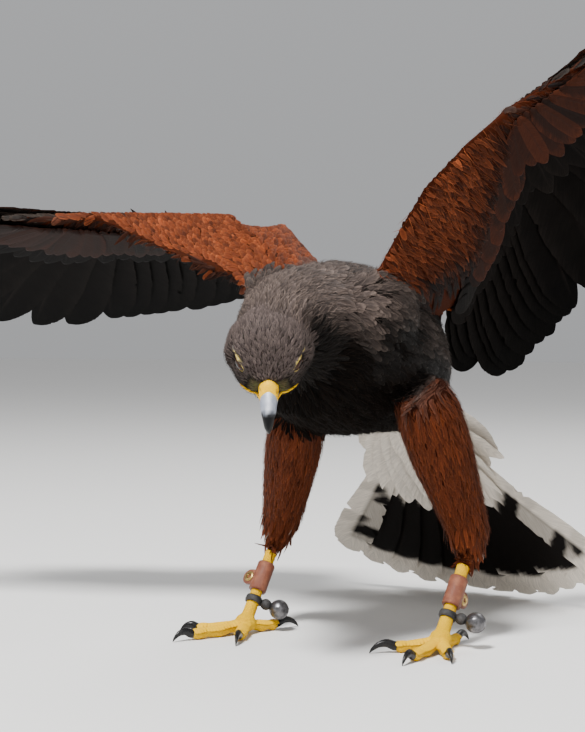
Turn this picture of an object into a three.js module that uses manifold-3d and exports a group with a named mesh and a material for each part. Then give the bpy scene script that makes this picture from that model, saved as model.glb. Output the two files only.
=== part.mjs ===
// A harris hawk at life size, alighting: wings raised, tail fanned, head turned down to look at its feet.
// Millimetres, +Z up. The hawk faces -Y, its left side is +X, and its feet stand on the floor at Z = 0.
import * as THREE from "three";
import Module from "manifold-3d";

const wasm = await Module();
wasm.setup();

// Air left between two pieces that meet, and the floor's level
const AIR = 0.35;
const FLOOR = 0;

// The middle of the bounding box, seen from the point under the middle of the torso
const BOX_MIDDLE = [-66.3, 40];

// Torso: [along Y, height of the middle, half width, half height above, half height below]
const TORSO = [
  [-92, 232, 53, 60, 56],
  [-66, 231, 61, 66, 64],
  [-32, 231, 67, 69, 71],
  [8, 229, 70, 69, 70],
  [46, 222, 67, 62, 63],
  [78, 211, 57, 51, 53],
  [106, 196, 42, 38, 40],
  [126, 183, 27, 24, 25],
  [138, 176, 14, 12, 12],
];
// The breast muscles and shoulders swell the front of the torso: middle of each, and its half sizes
const SHOULDER_SWELL = { middle: [37, -44, 254], half: [37, 47, 39] };

// Neck: [x, y, z, half width, half height above, half height below, lean back in degrees]
const NECK = [
  [0, -92 - AIR, 232, 53, 60, 56, 0],
  [2, -108, 235, 48, 52, 50, 8],
  [5, -126, 238, 40, 42, 41, 18],
  [8, -142, 238, 33, 34, 32, 28],
  [11, -156, 236, 24, 24, 22, 40],
];

// Head: its middle lies between the eyes, and it is turned and bowed from looking along -Y
const HEAD_MIDDLE = [13, -171, 218];
const HEAD_TURN = 26;
const HEAD_BOW = 57;
// [forward, up, half width, half height above, half height below]
const SKULL = [
  [-46, -1, 9, 8, 8],
  [-40, -1, 19, 17, 17],
  [-28, -1, 28.5, 23, 24],
  [-15, -1, 30, 24, 24],
  [-4, -2, 27, 22, 21],
  [5, -4, 21.8, 18.5, 16],
  [11, -5.5, 16.6, 15, 12.5],
  [15.6, -5.8, 11.6, 12, 9.4],
];
const FACE_FRONT = 15.6;
const EYE = { forward: -1.5, out: 17.0, up: 2.2, radius: 7.8, look: [0.42, 0.9, -0.04] };
const BROW = { from: -9, to: 9, out: 21, inset: 13.5, up: 11, drop: 4, radii: [1.6, 2.7, 2.4, 1.4] };
const LID = { radius: 6.6, tube: 1.15, proud: 0.62 };
// Cere, hooked upper bill and lower bill:
// [forward, up, half width, half height above, half height below, bow]
const CERE = [
  [15.95, -3.4, 7.6, 8.2, 6.0, 0],
  [21, -2.6, 7.0, 7.3, 6.4, 4],
  [27, -3.0, 6.5, 6.5, 6.1, 12],
];
const BILL_UPPER = [
  [27.4, -3.1, 6.4, 6.3, 6.0, 12],
  [33, -4.9, 5.7, 5.8, 5.0, 26],
  [38, -8.4, 4.4, 4.7, 3.7, 48],
  [41, -13, 3.0, 3.3, 2.5, 70],
  [42, -17.4, 1.5, 1.7, 1.3, 84],
  [42, -20.6, 0.4, 0.4, 0.4, 90],
];
const BILL_LOWER = [
  [15.95, -12.4, 7.4, 1.9, 2.8, 0],
  [22, -12.4, 6.4, 2.0, 2.8, 0],
  [29, -12.3, 4.8, 1.6, 2.2, 0],
  [34, -12.2, 2.6, 0.8, 1.4, 0],
];
const GAPE = { from: 15, to: 6, narrow: 10, wide: 17.4, up: -10.4, radii: [1.1, 1.1, 0.6] };
const NOSTRIL = { forward: 22, up: -1.2, length: 2.2, height: 1.5, deep: 4.2, open: 12 };

// Wings: the bones, the shoulder joint, and for each side where the wrist and the feathers point,
// how far the front web bows out and how far the crest of the upper arm is raised
const HUMERUS = 100;
const ULNA = 112;
const HAND = 68;
const SHOULDER = [45, -45, 268];
const FLATTENED = 0.7;
const POSE = {
  left: {
    side: 1,
    wrist: [84, 42, 135],
    elbowLie: [0.15, 1, -0.1],
    web: 27,
    crest: 0,
    tertials: [-0.15, 0.79, -0.59],
    secondaries: [0.12, 0.75, -0.65],
    hand: [0.78, 0.25, 0.57],
  },
  right: {
    side: -1,
    wrist: [-154, -15, 63],
    elbowLie: [0, 0.87, 0.5],
    web: 5,
    crest: 11,
    tertials: [-0.44, 0.86, -0.24],
    secondaries: [-0.5, 0.77, -0.38],
    hand: [-0.93, -0.36, 0.05],
  },
};

// Feathers: how thick, how far each vane is tipped under its inner neighbour, and how much they vary
const VANE = 0.8;
const TIP_UNDER = 8.5;
const VARIED = { length: 0.022, degrees: 1.1 };
const SEED = 7;
// Primaries from the innermost outwards, and the first of them that is notched like a finger
const PRIMARIES = [214, 224, 232, 240, 250, 260, 268, 262, 240, 196];
const FIRST_FINGER = 5;
const PRIMARY = { lead: 9, trail: 24, innermostTrail: 33, fingerLead: 7.5, fingerTrail: 22 };
const SECONDARY_COUNT = 9;
const SECONDARY = { inner: 130, outer: 197, lead: 12, trail: 28 };
const TERTIAL = { count: 2, length: 104, spacing: 13, lead: 21, trail: 22 };
const ALULA = { count: 2, length: 58, half: 7 };
const COVERT_ROWS = [
  { share: 0.37, lift: 3.4, lead: 8, trail: 13, step: 1, sag: 0 },
  { share: 0.21, lift: 7.2, lead: 11, trail: 16, step: 2, sag: 1.5 },
  { share: 0.38, lift: -6.2, lead: 11, trail: 16, step: 2, sag: -1 },
];
// [share of the length, share of the width before the rib, share behind it]
const FLIGHT_OUTLINE = [
  [0, 0.25, 0.14],
  [0.3, 0.95, 0.95],
  [0.9, 0.78, 0.8],
  [1, 0.2, 0.32],
];
const FINGER_OUTLINE = [
  [0, 0.25, 0.12],
  [0.46, 0.95, 0.92],
  [0.68, 0.74, 0.58],
  [0.94, 0.66, 0.42],
  [1, 0.25, 0.2],
];
const COVERT_OUTLINE = [
  [0, 0.35, 0.3],
  [0.7, 1, 1],
  [1, 0.45, 0.4],
];

// Tail: a fan of twelve, swung a little to the left and pointing down and back
const TAIL = {
  root: [0, 126, 178],
  drop: 52,
  swing: 11,
  spread: 44,
  count: 12,
  length: 226,
  rooted: 26,
  shorter: 1.6,
  half: 19.5,
  top: 4.6,
  step: 1.12,
};
// [along the tail, half width, half height]
const TAIL_STUMP = [
  [-20, 20, 14],
  [0, 23, 16],
  [24, 22, 14],
  [44, 17, 10],
  [60, 9, 5],
];
const TAIL_OUTLINE = [
  [0, 0.2, 0.2],
  [0.38, 0.74, 0.74],
  [0.92, 1, 1],
  [1, 0.5, 0.5],
];
const TAIL_COVERTS = [
  { count: 6, length: 116, half: 20, lift: -11.5, tilt: -7, spread: 33 },
  { count: 6, length: 76, half: 17, lift: 8, tilt: 7, spread: 28 },
];

// Legs: knee, hock and ball of the foot, the last on the floor's level plus its own half height
const LEGS = {
  left: {
    side: 1,
    knee: [72, -17, 178],
    hock: [88, 33, 80],
    ball: [81, -17, 9],
    turn: 0,
    eyelet: [0.2, 0.98, 0],
    bell: [0.95, 0.3, 0],
  },
  right: {
    side: -1,
    knee: [-36, -23, 174],
    hock: [-78, 31, 82],
    ball: [-86, -17, 9],
    turn: -32,
    eyelet: [-0.95, 0.3, 0],
    bell: [0.8, 0.6, 0],
  },
};
const THIGH = [
  [0, 24, 32],
  [0.3, 24, 30],
  [0.6, 21, 25],
  [0.85, 18.5, 21],
  [1, 16.5, 18],
];
const SHANK = { share: 0.27, radius: 7.4 };
const TROUSER_LOCKS = { count: 5, length: 46, half: 8 };
const TARSUS = { upper: 5.4, middle: 4.5, lower: 5.6 };
const BALL = { radius: 9.2, half: 8 };
// Toes: [name, angle from straight ahead towards the outside, length, claw length]
const TOES = [
  ["inner", -52, 35, 21],
  ["middle", -3, 50, 18],
  ["outer", 30, 38, 15],
  ["hind", 176, 30, 23],
];
// [share of the toe's or the claw's length, height of its middle, radius]
const TOE_ARCH = [
  [0, 7.6, 6.4],
  [0.3, 6.3, 4.5],
  [0.52, 4.6, 5.3],
  [0.72, 4.9, 4.1],
  [0.9, 4.3, 5.0],
  [1, 5, 3.5],
];
const CLAW_HOOK = [
  [0, 5, 3.2],
  [0.34, 7.6, 2.9],
  [0.64, 6.6, 2.1],
  [0.87, 3.4, 1.2],
  [0.97, 0.7, 0.35],
];
const TOE_END = 0.9;

// What it wears on each shank: a leather anklet with a brass eyelet, and a bell on its strap
const ANKLET = {
  from: 0.4,
  to: 0.68,
  leather: 2,
  tab: 15,
  tabHeight: 13,
  tabThickness: 2.6,
  rounded: 5,
  eyeInset: 6.6,
};
const EYELET = { hole: 3.3, barrel: 2.9, bore: 1.7, flange: 4.6, rim: 0.8 };
const STRAP = { from: 0.74, to: 0.8, leather: 1.3, reach: 10, link: 2.1, button: 5 };
const BELL = { radius: 8, out: 22, slot: 1.4, slotHalf: 6, slotDeep: 4, slotOpen: 12 };

// Colours of the plain materials
const COLOURS = {
  dark: 0x2b2422,
  rufous: 0x8a3f1c,
  white: 0xcfc6ba,
  yellow: 0xe8b90c,
  horn: 0x6f7078,
  black: 0x141416,
  leather: 0x8a4527,
  brass: 0xb8963a,
  eye: 0x3a1c0a,
};

const point = (p) => new THREE.Vector3(...p);
const radians = THREE.MathUtils.degToRad;
const between = (a, b, t) => a.clone().lerp(b, t);
const shifted = (p, ...moves) => moves.reduce((q, [way, far]) => q.addScaledVector(way, far), p.clone());
const squareTo = (a, b) => new THREE.Vector3().crossVectors(a, b).normalize();
const scaled = (way, by) => way.clone().multiplyScalar(by);
const swung = (from, to, turn) => scaled(from, Math.cos(turn)).addScaledVector(to, Math.sin(turn));

// A closed solid from corner points and triangles, turned so that its faces point outwards.
function solid(points, triangles) {
  const vertProperties = new Float32Array(points.flatMap((p) => [p.x, p.y, p.z]));
  const make = (list) => {
    const triVerts = new Uint32Array(list.flat());
    return new wasm.Manifold(new wasm.Mesh({ numProp: 3, vertProperties, triVerts }));
  };
  const made = make(triangles);
  return made.volume() > 0 ? made : make(triangles.map(([a, b, c]) => [a, c, b]));
}

// A skin over rings of equally many points, closed by a fan at each end.
function loft(rings) {
  const n = rings[0].length;
  const points = rings.flat();
  const triangles = [];
  for (let k = 0; k + 1 < rings.length; k++) {
    for (let i = 0; i < n; i++) {
      const j = (i + 1) % n;
      const [a, b, c, d] = [k * n + i, k * n + j, (k + 1) * n + j, (k + 1) * n + i];
      triangles.push([a, b, c], [a, c, d]);
    }
  }
  for (const [start, turn] of [[0, true], [(rings.length - 1) * n, false]]) {
    const ring = points.slice(start, start + n);
    const middle = ring.reduce((sum, p) => sum.add(p), new THREE.Vector3()).divideScalar(n);
    points.push(middle);
    for (let i = 0; i < n; i++) {
      const [a, b] = [start + i, start + ((i + 1) % n)];
      triangles.push(turn ? [points.length - 1, b, a] : [points.length - 1, a, b]);
    }
  }
  return solid(points, triangles);
}

// An egg-shaped ring round a middle: across and up are its axes.
function oval(middle, across, up, halfWidth, above, below, corners) {
  return Array.from({ length: corners }, (_, i) => {
    const turn = (2 * Math.PI * i) / corners;
    const height = Math.sin(turn) > 0 ? above : below;
    return shifted(middle, [across, Math.cos(turn) * halfWidth], [up, Math.sin(turn) * height]);
  });
}

// A tube through points, with a radius at each: round, or wider across than it is high.
function tube(path, radii, corners, flat = 1, upHint = new THREE.Vector3(0, 0, 1)) {
  const rings = path.map((p, i) => {
    const next = path[Math.min(i + 1, path.length - 1)];
    const ahead = next.clone().sub(path[Math.max(i - 1, 0)]).normalize();
    const across = squareTo(ahead, upHint);
    const up = squareTo(across, ahead);
    return oval(p, across, up, radii[i], radii[i] * flat, radii[i] * flat, corners);
  });
  return loft(rings);
}

// One feather: a thin tapering plate that sags to its tip, its two faces split into the same triangles.
function feather({ root, along, up, side, length, lead, trail, outline, sag = 0, sweep = 0 }) {
  const points = outline.flatMap(([u, leadShare, trailShare]) => {
    const middle = shifted(root, [along, length * u], [up, -sag * u * u], [side, sweep * u * u]);
    const [front, back] = [-lead * leadShare, trail * trailShare];
    const corners = [[front, VANE / 2], [back, VANE / 2], [back, -VANE / 2], [front, -VANE / 2]];
    return corners.map(([out, high]) => shifted(middle, [side, out], [up, high]));
  });
  const triangles = [[0, 2, 1], [0, 3, 2]];
  const last = 4 * (outline.length - 1);
  triangles.push([last, last + 1, last + 2], [last, last + 2, last + 3]);
  for (let k = 0; k < last; k += 4) {
    for (let i = 0; i < 4; i++) {
      const j = (i + 1) % 4;
      const [a, b, c, d] = [k + i, k + j, k + 4 + j, k + 4 + i];
      triangles.push(...(i === 0 ? [[a, b, c], [a, c, d]] : [[a, b, d], [b, c, d]]));
    }
  }
  return solid(points, triangles);
}

// Small steady differences between feathers, the same at every build: numbers from -1 to 1.
function variation(seed) {
  let state = seed;
  return () => {
    state = (state * 48271) % 2147483647;
    return (2 * state) / 2147483647 - 1;
  };
}
const vary = variation(SEED);

// A feather's direction and length, each changed a little.
function varied(f) {
  const along = f.along.clone().applyAxisAngle(f.up, radians(VARIED.degrees * vary()));
  return { ...f, along, length: f.length * (1 + VARIED.length * vary()) };
}

const join = (pieces) => wasm.Manifold.union(pieces);
const aboveFloor = (made) => made.trimByPlane([0, 0, 1], FLOOR);

// The largest closed surface of a solid, which drops scraps and fills sealed hollows.
function largest(made) {
  return made.decompose().sort((a, b) => b.volume() - a.volume())[0];
}

const hawk = new THREE.Group();
hawk.position.set(-BOX_MIDDLE[0], -BOX_MIDDLE[1], 0);

// Adds a solid to the hawk as a named mesh of its own.
function addPiece(name, made, colour) {
  const { numProp, vertProperties, triVerts } = largest(made).getMesh();
  const geometry = new THREE.BufferGeometry();
  const corners = Array.from({ length: vertProperties.length / numProp }, (_, i) => [
    ...vertProperties.subarray(i * numProp, i * numProp + 3),
  ]);
  geometry.setAttribute("position", new THREE.Float32BufferAttribute(corners.flat(), 3));
  geometry.setIndex(new THREE.BufferAttribute(new Uint32Array(triVerts), 1));
  geometry.computeVertexNormals();
  const metalness = colour === "brass" ? 0.9 : 0;
  const look = { color: COLOURS[colour], roughness: 0.7, metalness, flatShading: true };
  const mesh = new THREE.Mesh(geometry, new THREE.MeshStandardMaterial(look));
  mesh.name = name;
  hawk.add(mesh);
}

// Torso and neck
const X = new THREE.Vector3(1, 0, 0);
const Y = new THREE.Vector3(0, 1, 0);
const Z = new THREE.Vector3(0, 0, 1);

function torsoSolid(grow) {
  const trunk = loft(
    TORSO.map(([y, z, halfWidth, above, below], i) => {
      const end = i === TORSO.length - 1 ? grow : i === 0 ? -grow : 0;
      return oval(point([0, y + end, z]), X, Z, halfWidth + grow, above + grow, below + grow, 16);
    }),
  );
  const swells = [-1, 1].map((side) => {
    const [x, y, z] = SHOULDER_SWELL.middle;
    const [wide, deep, high] = SHOULDER_SWELL.half.map((half) => half + grow);
    return loft(
      [-1, -0.75, -0.3, 0.3, 0.75, 1].map((t) => {
        const ring = Math.sqrt(Math.max(1 - t * t, 0.02));
        return oval(point([side * x, y + t * deep, z]), X, Z, wide * ring, high * ring, high * ring, 10);
      }),
    );
  });
  return join([trunk, ...swells]);
}
const torso = torsoSolid(0);
const torsoAndAir = torsoSolid(AIR);

function neckSolid(grow) {
  const turn = radians(HEAD_TURN * 0.6);
  return loft(
    NECK.map(([x, y, z, halfWidth, above, below, lean], i) => {
      const yaw = (turn * i) / (NECK.length - 1);
      const across = new THREE.Vector3(Math.cos(yaw), Math.sin(yaw), 0);
      const up = Z.clone().applyAxisAngle(across, radians(lean));
      return oval(point([x, y, z]), across, up, halfWidth + grow, above + grow, below + grow, 16);
    }),
  );
}

// Head, in its own axes: forward to the bill, out to the left, and up through the crown
const headOut = X.clone().applyAxisAngle(Z, radians(HEAD_TURN));
const headForward = new THREE.Vector3(0, -1, 0).applyAxisAngle(X, radians(HEAD_BOW));
headForward.applyAxisAngle(Z, radians(HEAD_TURN));
const headUp = squareTo(headForward, headOut);
const inHead = (forward, out, up) => {
  return shifted(point(HEAD_MIDDLE), [headForward, forward], [headOut, out], [headUp, up]);
};

function skullSolid(grow) {
  return loft(
    SKULL.map(([forward, up, halfWidth, above, below], i) => {
      const end = i === SKULL.length - 1 ? grow : i === 0 ? -grow : 0;
      const middle = inHead(forward + end, 0, up);
      return oval(middle, headOut, headUp, halfWidth + grow, above + grow, below + grow, 18);
    }),
  );
}

// Rings of the bill and cere lean over by their own bow as the bill hooks down.
function billSolid(stations, corners) {
  return loft(
    stations.map(([forward, up, halfWidth, above, below, bow]) => {
      const lean = radians(bow);
      const ringUp = swung(headUp, headForward, lean);
      return oval(inHead(forward, 0, up), headOut, ringUp, halfWidth, above, below, corners);
    }),
  );
}

// A ball with this many faces round it, its poles along an axis.
function ball(middle, radius, axis, corners = 14) {
  const across = squareTo(axis, Math.abs(axis.z) > 0.9 ? X : Z);
  const up = squareTo(across, axis);
  const rows = Math.round(corners / 2);
  return loft(
    Array.from({ length: rows + 1 }, (_, i) => {
      const turn = Math.PI * THREE.MathUtils.clamp(i / rows, 0.03, 0.97);
      const ring = radius * Math.sin(turn);
      const at = shifted(middle, [axis, -radius * Math.cos(turn)]);
      return oval(at, across, up, ring, ring, ring, corners);
    }),
  );
}

// A ring of round section about an axis.
function torus(middle, axis, radius, tubeRadius, around, corners) {
  const across = squareTo(axis, Math.abs(axis.z) > 0.9 ? X : Z);
  const up = squareTo(across, axis);
  const made = new THREE.TorusGeometry(radius, tubeRadius, corners, around);
  const matrix = new THREE.Matrix4().makeBasis(across, up, axis.clone()).setPosition(middle);
  made.applyMatrix4(matrix);
  const at = made.getAttribute("position");
  const points = [];
  for (let k = 0; k < around; k++) {
    for (let i = 0; i < corners; i++) {
      points.push(new THREE.Vector3().fromBufferAttribute(at, i * (around + 1) + k));
    }
  }
  const triangles = [];
  for (let k = 0; k < around; k++) {
    for (let i = 0; i < corners; i++) {
      const [j, m] = [(i + 1) % corners, (k + 1) % around];
      const [a, b, c, d] = [k * corners + i, k * corners + j, m * corners + j, m * corners + i];
      triangles.push([a, b, c], [a, c, d]);
    }
  }
  return solid(points, triangles);
}

function buildHead() {
  const extras = [];
  const eyeballs = [];
  const cuts = [];
  for (const side of [1, -1]) {
    const middle = inHead(EYE.forward, side * EYE.out, EYE.up);
    const [ahead, outward, upward] = EYE.look;
    const look = inHead(ahead, side * outward, upward).sub(point(HEAD_MIDDLE)).normalize();
    eyeballs.push({ side, made: ball(middle, EYE.radius, look, 10) });
    cuts.push(ball(middle, EYE.radius + AIR, look, 10));
    extras.push(torus(shifted(middle, [look, EYE.radius * LID.proud]), look, LID.radius, LID.tube, 10, 4));
    const brow = [0, 0.35, 0.7, 1].map((t) =>
      inHead(
        THREE.MathUtils.lerp(BROW.from, BROW.to, t),
        side * THREE.MathUtils.lerp(BROW.out, BROW.inset, t * t),
        BROW.up - BROW.drop * t,
      ),
    );
    extras.push(tube(brow, BROW.radii, 5, 0.75, headUp));
    const gape = [0, 0.5, 1].map((t) =>
      inHead(
        THREE.MathUtils.lerp(GAPE.from, GAPE.to, t),
        side * THREE.MathUtils.lerp(GAPE.narrow, GAPE.wide, Math.sqrt(t)),
        GAPE.up - 2 * t,
      ),
    );
    extras.push(tube(gape, GAPE.radii, 6, 1, headUp));
  }
  const head = join([skullSolid(0), ...extras])
    .subtract(join(cuts))
    .trimByPlane(headForward.clone().negate().toArray(), -headForward.dot(inHead(FACE_FRONT, 0, 0)));
  addPiece("head", head, "dark");
  for (const { side, made } of eyeballs) addPiece(side > 0 ? "eye_left" : "eye_right", made, "eye");
  const nostrils = [1, -1].map((side) =>
    tube(
      [NOSTRIL.deep, NOSTRIL.open].map((out) => inHead(NOSTRIL.forward, side * out, NOSTRIL.up)),
      [NOSTRIL.length, NOSTRIL.length],
      8,
      NOSTRIL.height / NOSTRIL.length,
      headUp,
    ),
  );
  addPiece("cere", billSolid(CERE, 16).subtract(join(nostrils)), "yellow");
  addPiece("bill_upper", billSolid(BILL_UPPER, 14), "horn");
  addPiece("bill_lower", billSolid(BILL_LOWER, 12), "horn");
}

// Two feather directions brought most of the way into the one plane that runs along a bone between them.
function nearPlane(bone, first, second) {
  const normal = squareTo(bone, first.clone().add(second));
  const flattened = (along) => shifted(along, [normal, -FLATTENED * along.dot(normal)]).normalize();
  return [first, second].map(flattened);
}

// Wings. The bones of one wing, its two planes, and the way that its feathers lie.
function wingFrame(pose) {
  const shoulder = point([pose.side * SHOULDER[0], SHOULDER[1], SHOULDER[2]]);
  const wrist = shoulder.clone().add(point(pose.wrist));
  const span = wrist.clone().sub(shoulder);
  const reach = span.length();
  span.normalize();
  const beside = point(pose.elbowLie);
  beside.addScaledVector(span, -beside.dot(span)).normalize();
  const foot = (HUMERUS ** 2 - ULNA ** 2 + reach ** 2) / (2 * reach);
  const elbow = shifted(shoulder, [span, foot], [beside, Math.sqrt(HUMERUS ** 2 - foot ** 2)]);
  const ulna = wrist.clone().sub(elbow).normalize();
  const hand = point(pose.hand).normalize();
  const ways = [pose.tertials, pose.secondaries].map((way) => point(way).normalize());
  const [tertial, secondary] = nearPlane(ulna, ...ways);
  const upOver = (along) => squareTo(ulna, along).multiplyScalar(pose.side);
  const forearmUp = upOver(secondary.clone().add(tertial));
  const handUp = squareTo(hand, secondary).multiplyScalar(pose.side);
  const frontUp = squareTo(span, beside).multiplyScalar(pose.side);
  const handEnd = shifted(wrist, [hand, HAND]);
  const axes = { span, beside, ulna, secondary, tertial, hand };
  return { ...pose, ...axes, shoulder, wrist, elbow, handEnd, upOver, forearmUp, handUp, frontUp };
}

// A direction partly turned from one to another in their own plane.
function turned(from, to, share) {
  const whole = from.angleTo(to);
  return from
    .clone()
    .multiplyScalar(Math.sin((1 - share) * whole))
    .addScaledVector(to, Math.sin(share * whole))
    .divideScalar(Math.sin(whole));
}

// The flesh of a wing under its small feathers: a thin front web, a thick rib of bone and muscle,
// and a rear edge.
function wingFlesh(w) {
  const mean = (a, b) => a.clone().add(b).normalize();
  const inward = w.ulna.clone().negate();
  const handBack = turned(w.secondary, w.hand, 0.42);
  const inner = between(w.shoulder, w.elbow, 0.5);
  const webbed = (share) => {
    const bow = w.web * Math.sin(Math.PI * (0.12 + 0.8 * share));
    return shifted(between(w.shoulder, w.wrist, share), [w.beside, -bow], [w.frontUp, 0.4 * bow]);
  };
  const stations = [
    {
      nose: shifted(w.shoulder, [w.span, -14], [w.beside, -20]),
      spar: shifted(w.shoulder, [w.span, -18], [w.beside, 8]),
      rear: shifted(w.shoulder, [w.beside, 58], [w.span, -18]),
      thick: 26,
      up: w.frontUp,
      backUp: w.frontUp,
    },
    {
      nose: webbed(0.25),
      spar: shifted(inner, [w.frontUp, w.crest]),
      rear: shifted(w.elbow, [inward, 42], [w.tertial, 12], [w.frontUp, w.crest]),
      thick: 25,
      up: w.frontUp,
      backUp: mean(w.frontUp, w.forearmUp),
    },
    {
      nose: webbed(0.52),
      spar: w.elbow,
      rear: shifted(w.elbow, [w.tertial, 24]),
      thick: 27,
      up: w.frontUp,
      backUp: w.forearmUp,
    },
    {
      nose: webbed(0.78),
      spar: between(w.elbow, w.wrist, 0.5),
      rear: shifted(between(w.elbow, w.wrist, 0.5), [mean(w.tertial, w.secondary), 25]),
      thick: 24,
      up: w.frontUp,
      backUp: w.forearmUp,
    },
    {
      nose: shifted(w.wrist, [w.secondary, -9]),
      spar: w.wrist,
      rear: shifted(w.wrist, [w.secondary, 24]),
      thick: 19,
      up: mean(w.frontUp, w.forearmUp),
      backUp: mean(w.forearmUp, w.handUp),
    },
    {
      nose: shifted(between(w.wrist, w.handEnd, 0.5), [handBack, -9]),
      spar: between(w.wrist, w.handEnd, 0.5),
      rear: shifted(between(w.wrist, w.handEnd, 0.5), [handBack, 20]),
      thick: 15,
      up: w.handUp,
      backUp: w.handUp,
    },
    {
      nose: shifted(w.handEnd, [handBack, -6]),
      spar: w.handEnd,
      rear: shifted(w.handEnd, [handBack, 12]),
      thick: 11,
      up: w.handUp,
      backUp: w.handUp,
    },
    {
      nose: shifted(w.handEnd, [w.hand, 16], [handBack, -3]),
      spar: shifted(w.handEnd, [w.hand, 16]),
      rear: shifted(w.handEnd, [w.hand, 16], [handBack, 4]),
      thick: 4,
      up: w.handUp,
      backUp: w.handUp,
    },
  ];
  return loft(
    stations.map(({ nose, spar, rear, thick, up, backUp }) => {
      const middleUp = mean(up, backUp);
      return [
        nose,
        shifted(between(nose, spar, 0.12), [up, thick * 0.2]),
        shifted(between(nose, spar, 0.6), [up, thick * 0.36]),
        shifted(spar, [middleUp, thick * 0.52]),
        shifted(between(spar, rear, 0.5), [backUp, thick * 0.42]),
        shifted(rear, [backUp, thick * 0.12]),
        shifted(rear, [backUp, -thick * 0.12]),
        shifted(between(spar, rear, 0.5), [backUp, -thick * 0.34]),
        shifted(spar, [middleUp, -thick * 0.44]),
        shifted(between(nose, spar, 0.6), [up, -thick * 0.26]),
        shifted(between(nose, spar, 0.12), [up, -thick * 0.16]),
      ];
    }),
  );
}

// Where each flight feather of a wing is rooted and how it lies, from the innermost outwards.
function flightPlan(w) {
  const plan = [];
  for (let i = TERTIAL.count; i >= 1; i--) {
    plan.push({
      part: "upper_arm",
      root: shifted(w.elbow, [w.ulna, -TERTIAL.spacing * i], [w.tertial, 4]),
      along: turned(w.tertial, w.secondary, -0.12 * i),
      up: w.upOver(w.tertial),
      length: TERTIAL.length - 7 * i,
      lead: TERTIAL.lead,
      trail: TERTIAL.trail,
      outline: FLIGHT_OUTLINE,
      sag: 8,
    });
  }
  for (let i = 0; i < SECONDARY_COUNT; i++) {
    const share = (i + 0.5) / SECONDARY_COUNT;
    const along = turned(w.tertial, w.secondary, share);
    plan.push({
      part: "forearm",
      root: shifted(between(w.elbow, w.wrist, share), [along, 4]),
      along,
      up: w.upOver(along),
      length: THREE.MathUtils.lerp(SECONDARY.inner, SECONDARY.outer, Math.sqrt(share)),
      lead: SECONDARY.lead,
      trail: SECONDARY.trail,
      outline: FLIGHT_OUTLINE,
      sag: 10,
    });
  }
  PRIMARIES.forEach((length, i) => {
    const share = (i + 0.5) / PRIMARIES.length;
    const along = turned(w.secondary, w.hand, 0.04 + 0.9 * share);
    const finger = i >= FIRST_FINGER;
    const widened = Math.max(0, 1 - i / 3) * (PRIMARY.innermostTrail - PRIMARY.trail);
    plan.push({
      part: "hand",
      root: shifted(between(w.wrist, w.handEnd, share), [along, 3]),
      along,
      up: w.handUp,
      length,
      lead: finger ? PRIMARY.fingerLead : PRIMARY.lead,
      trail: finger ? PRIMARY.fingerTrail : PRIMARY.trail + widened,
      outline: finger ? FINGER_OUTLINE : FLIGHT_OUTLINE,
      sag: 12,
      sweep: 8,
    });
  });
  for (let i = 0; i < ALULA.count; i++) {
    plan.push({
      part: "hand",
      alula: true,
      root: shifted(w.wrist, [w.hand, 6 + 5 * i], [w.secondary, -3], [w.handUp, 5]),
      along: turned(w.secondary, w.hand, 0.9 + 0.04 * i),
      up: w.handUp,
      length: ALULA.length + 8 * i,
      lead: ALULA.half,
      trail: ALULA.half,
      outline: COVERT_OUTLINE,
      sag: 3,
    });
  }
  return plan.map((f) => {
    const inward = squareTo(f.up, f.along).multiplyScalar(w.side);
    const tip = radians(TIP_UNDER);
    const side = inward.clone().multiplyScalar(Math.cos(tip)).addScaledVector(f.up, -Math.sin(tip));
    const up = swung(f.up, inward, tip);
    return { ...f, side, up };
  });
}

// The rows of coverts that lie over and under the roots of the flight feathers.
function covertPlan(plan) {
  return COVERT_ROWS.flatMap(({ share, lift, lead, trail, step, sag }) =>
    plan
      .filter((f, i) => i % step === 0 && !f.alula)
      .map((f) => ({
        part: f.part,
        root: shifted(f.root, [f.up, lift], [f.along, Math.abs(lift) > 5 ? -7 : -1]),
        along: f.along,
        up: f.up,
        side: f.side,
        length: Math.min(f.length * share, 92),
        lead,
        trail,
        outline: COVERT_OUTLINE,
        sag,
      })),
  );
}

function buildWing(name, pose) {
  const w = wingFrame(pose);
  const flesh = wingFlesh(w);
  const flights = flightPlan(w).map(varied);
  const all = [...flights, ...covertPlan(flights).map(varied)];
  const partFeathers = (part) => all.filter((f) => f.part === part).map(feather);
  const across = (along, up) => squareTo(along, up).multiplyScalar(w.side);
  const elbowPlane = across(w.tertial, w.upOver(w.tertial));
  const wristPlane = across(w.secondary, w.upOver(w.secondary));
  const beyond = (made, plane, at) => made.trimByPlane(plane.toArray(), plane.dot(at) + AIR / 2);
  const before = (made, plane, at) => beyond(made, plane.clone().negate(), at);
  const clear = (made) => made.subtract(torsoAndAir);
  const dressed = (part) => join([flesh, ...partFeathers(part)]);
  const upperArm = before(dressed("upper_arm"), elbowPlane, w.elbow);
  const forearm = before(beyond(dressed("forearm"), elbowPlane, w.elbow), wristPlane, w.wrist);
  addPiece(`wing_${name}_upper_arm`, clear(upperArm), "rufous");
  addPiece(`wing_${name}_forearm`, clear(forearm), "dark");
  addPiece(`wing_${name}_hand`, beyond(dressed("hand"), wristPlane, w.wrist), "dark");
}

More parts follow.
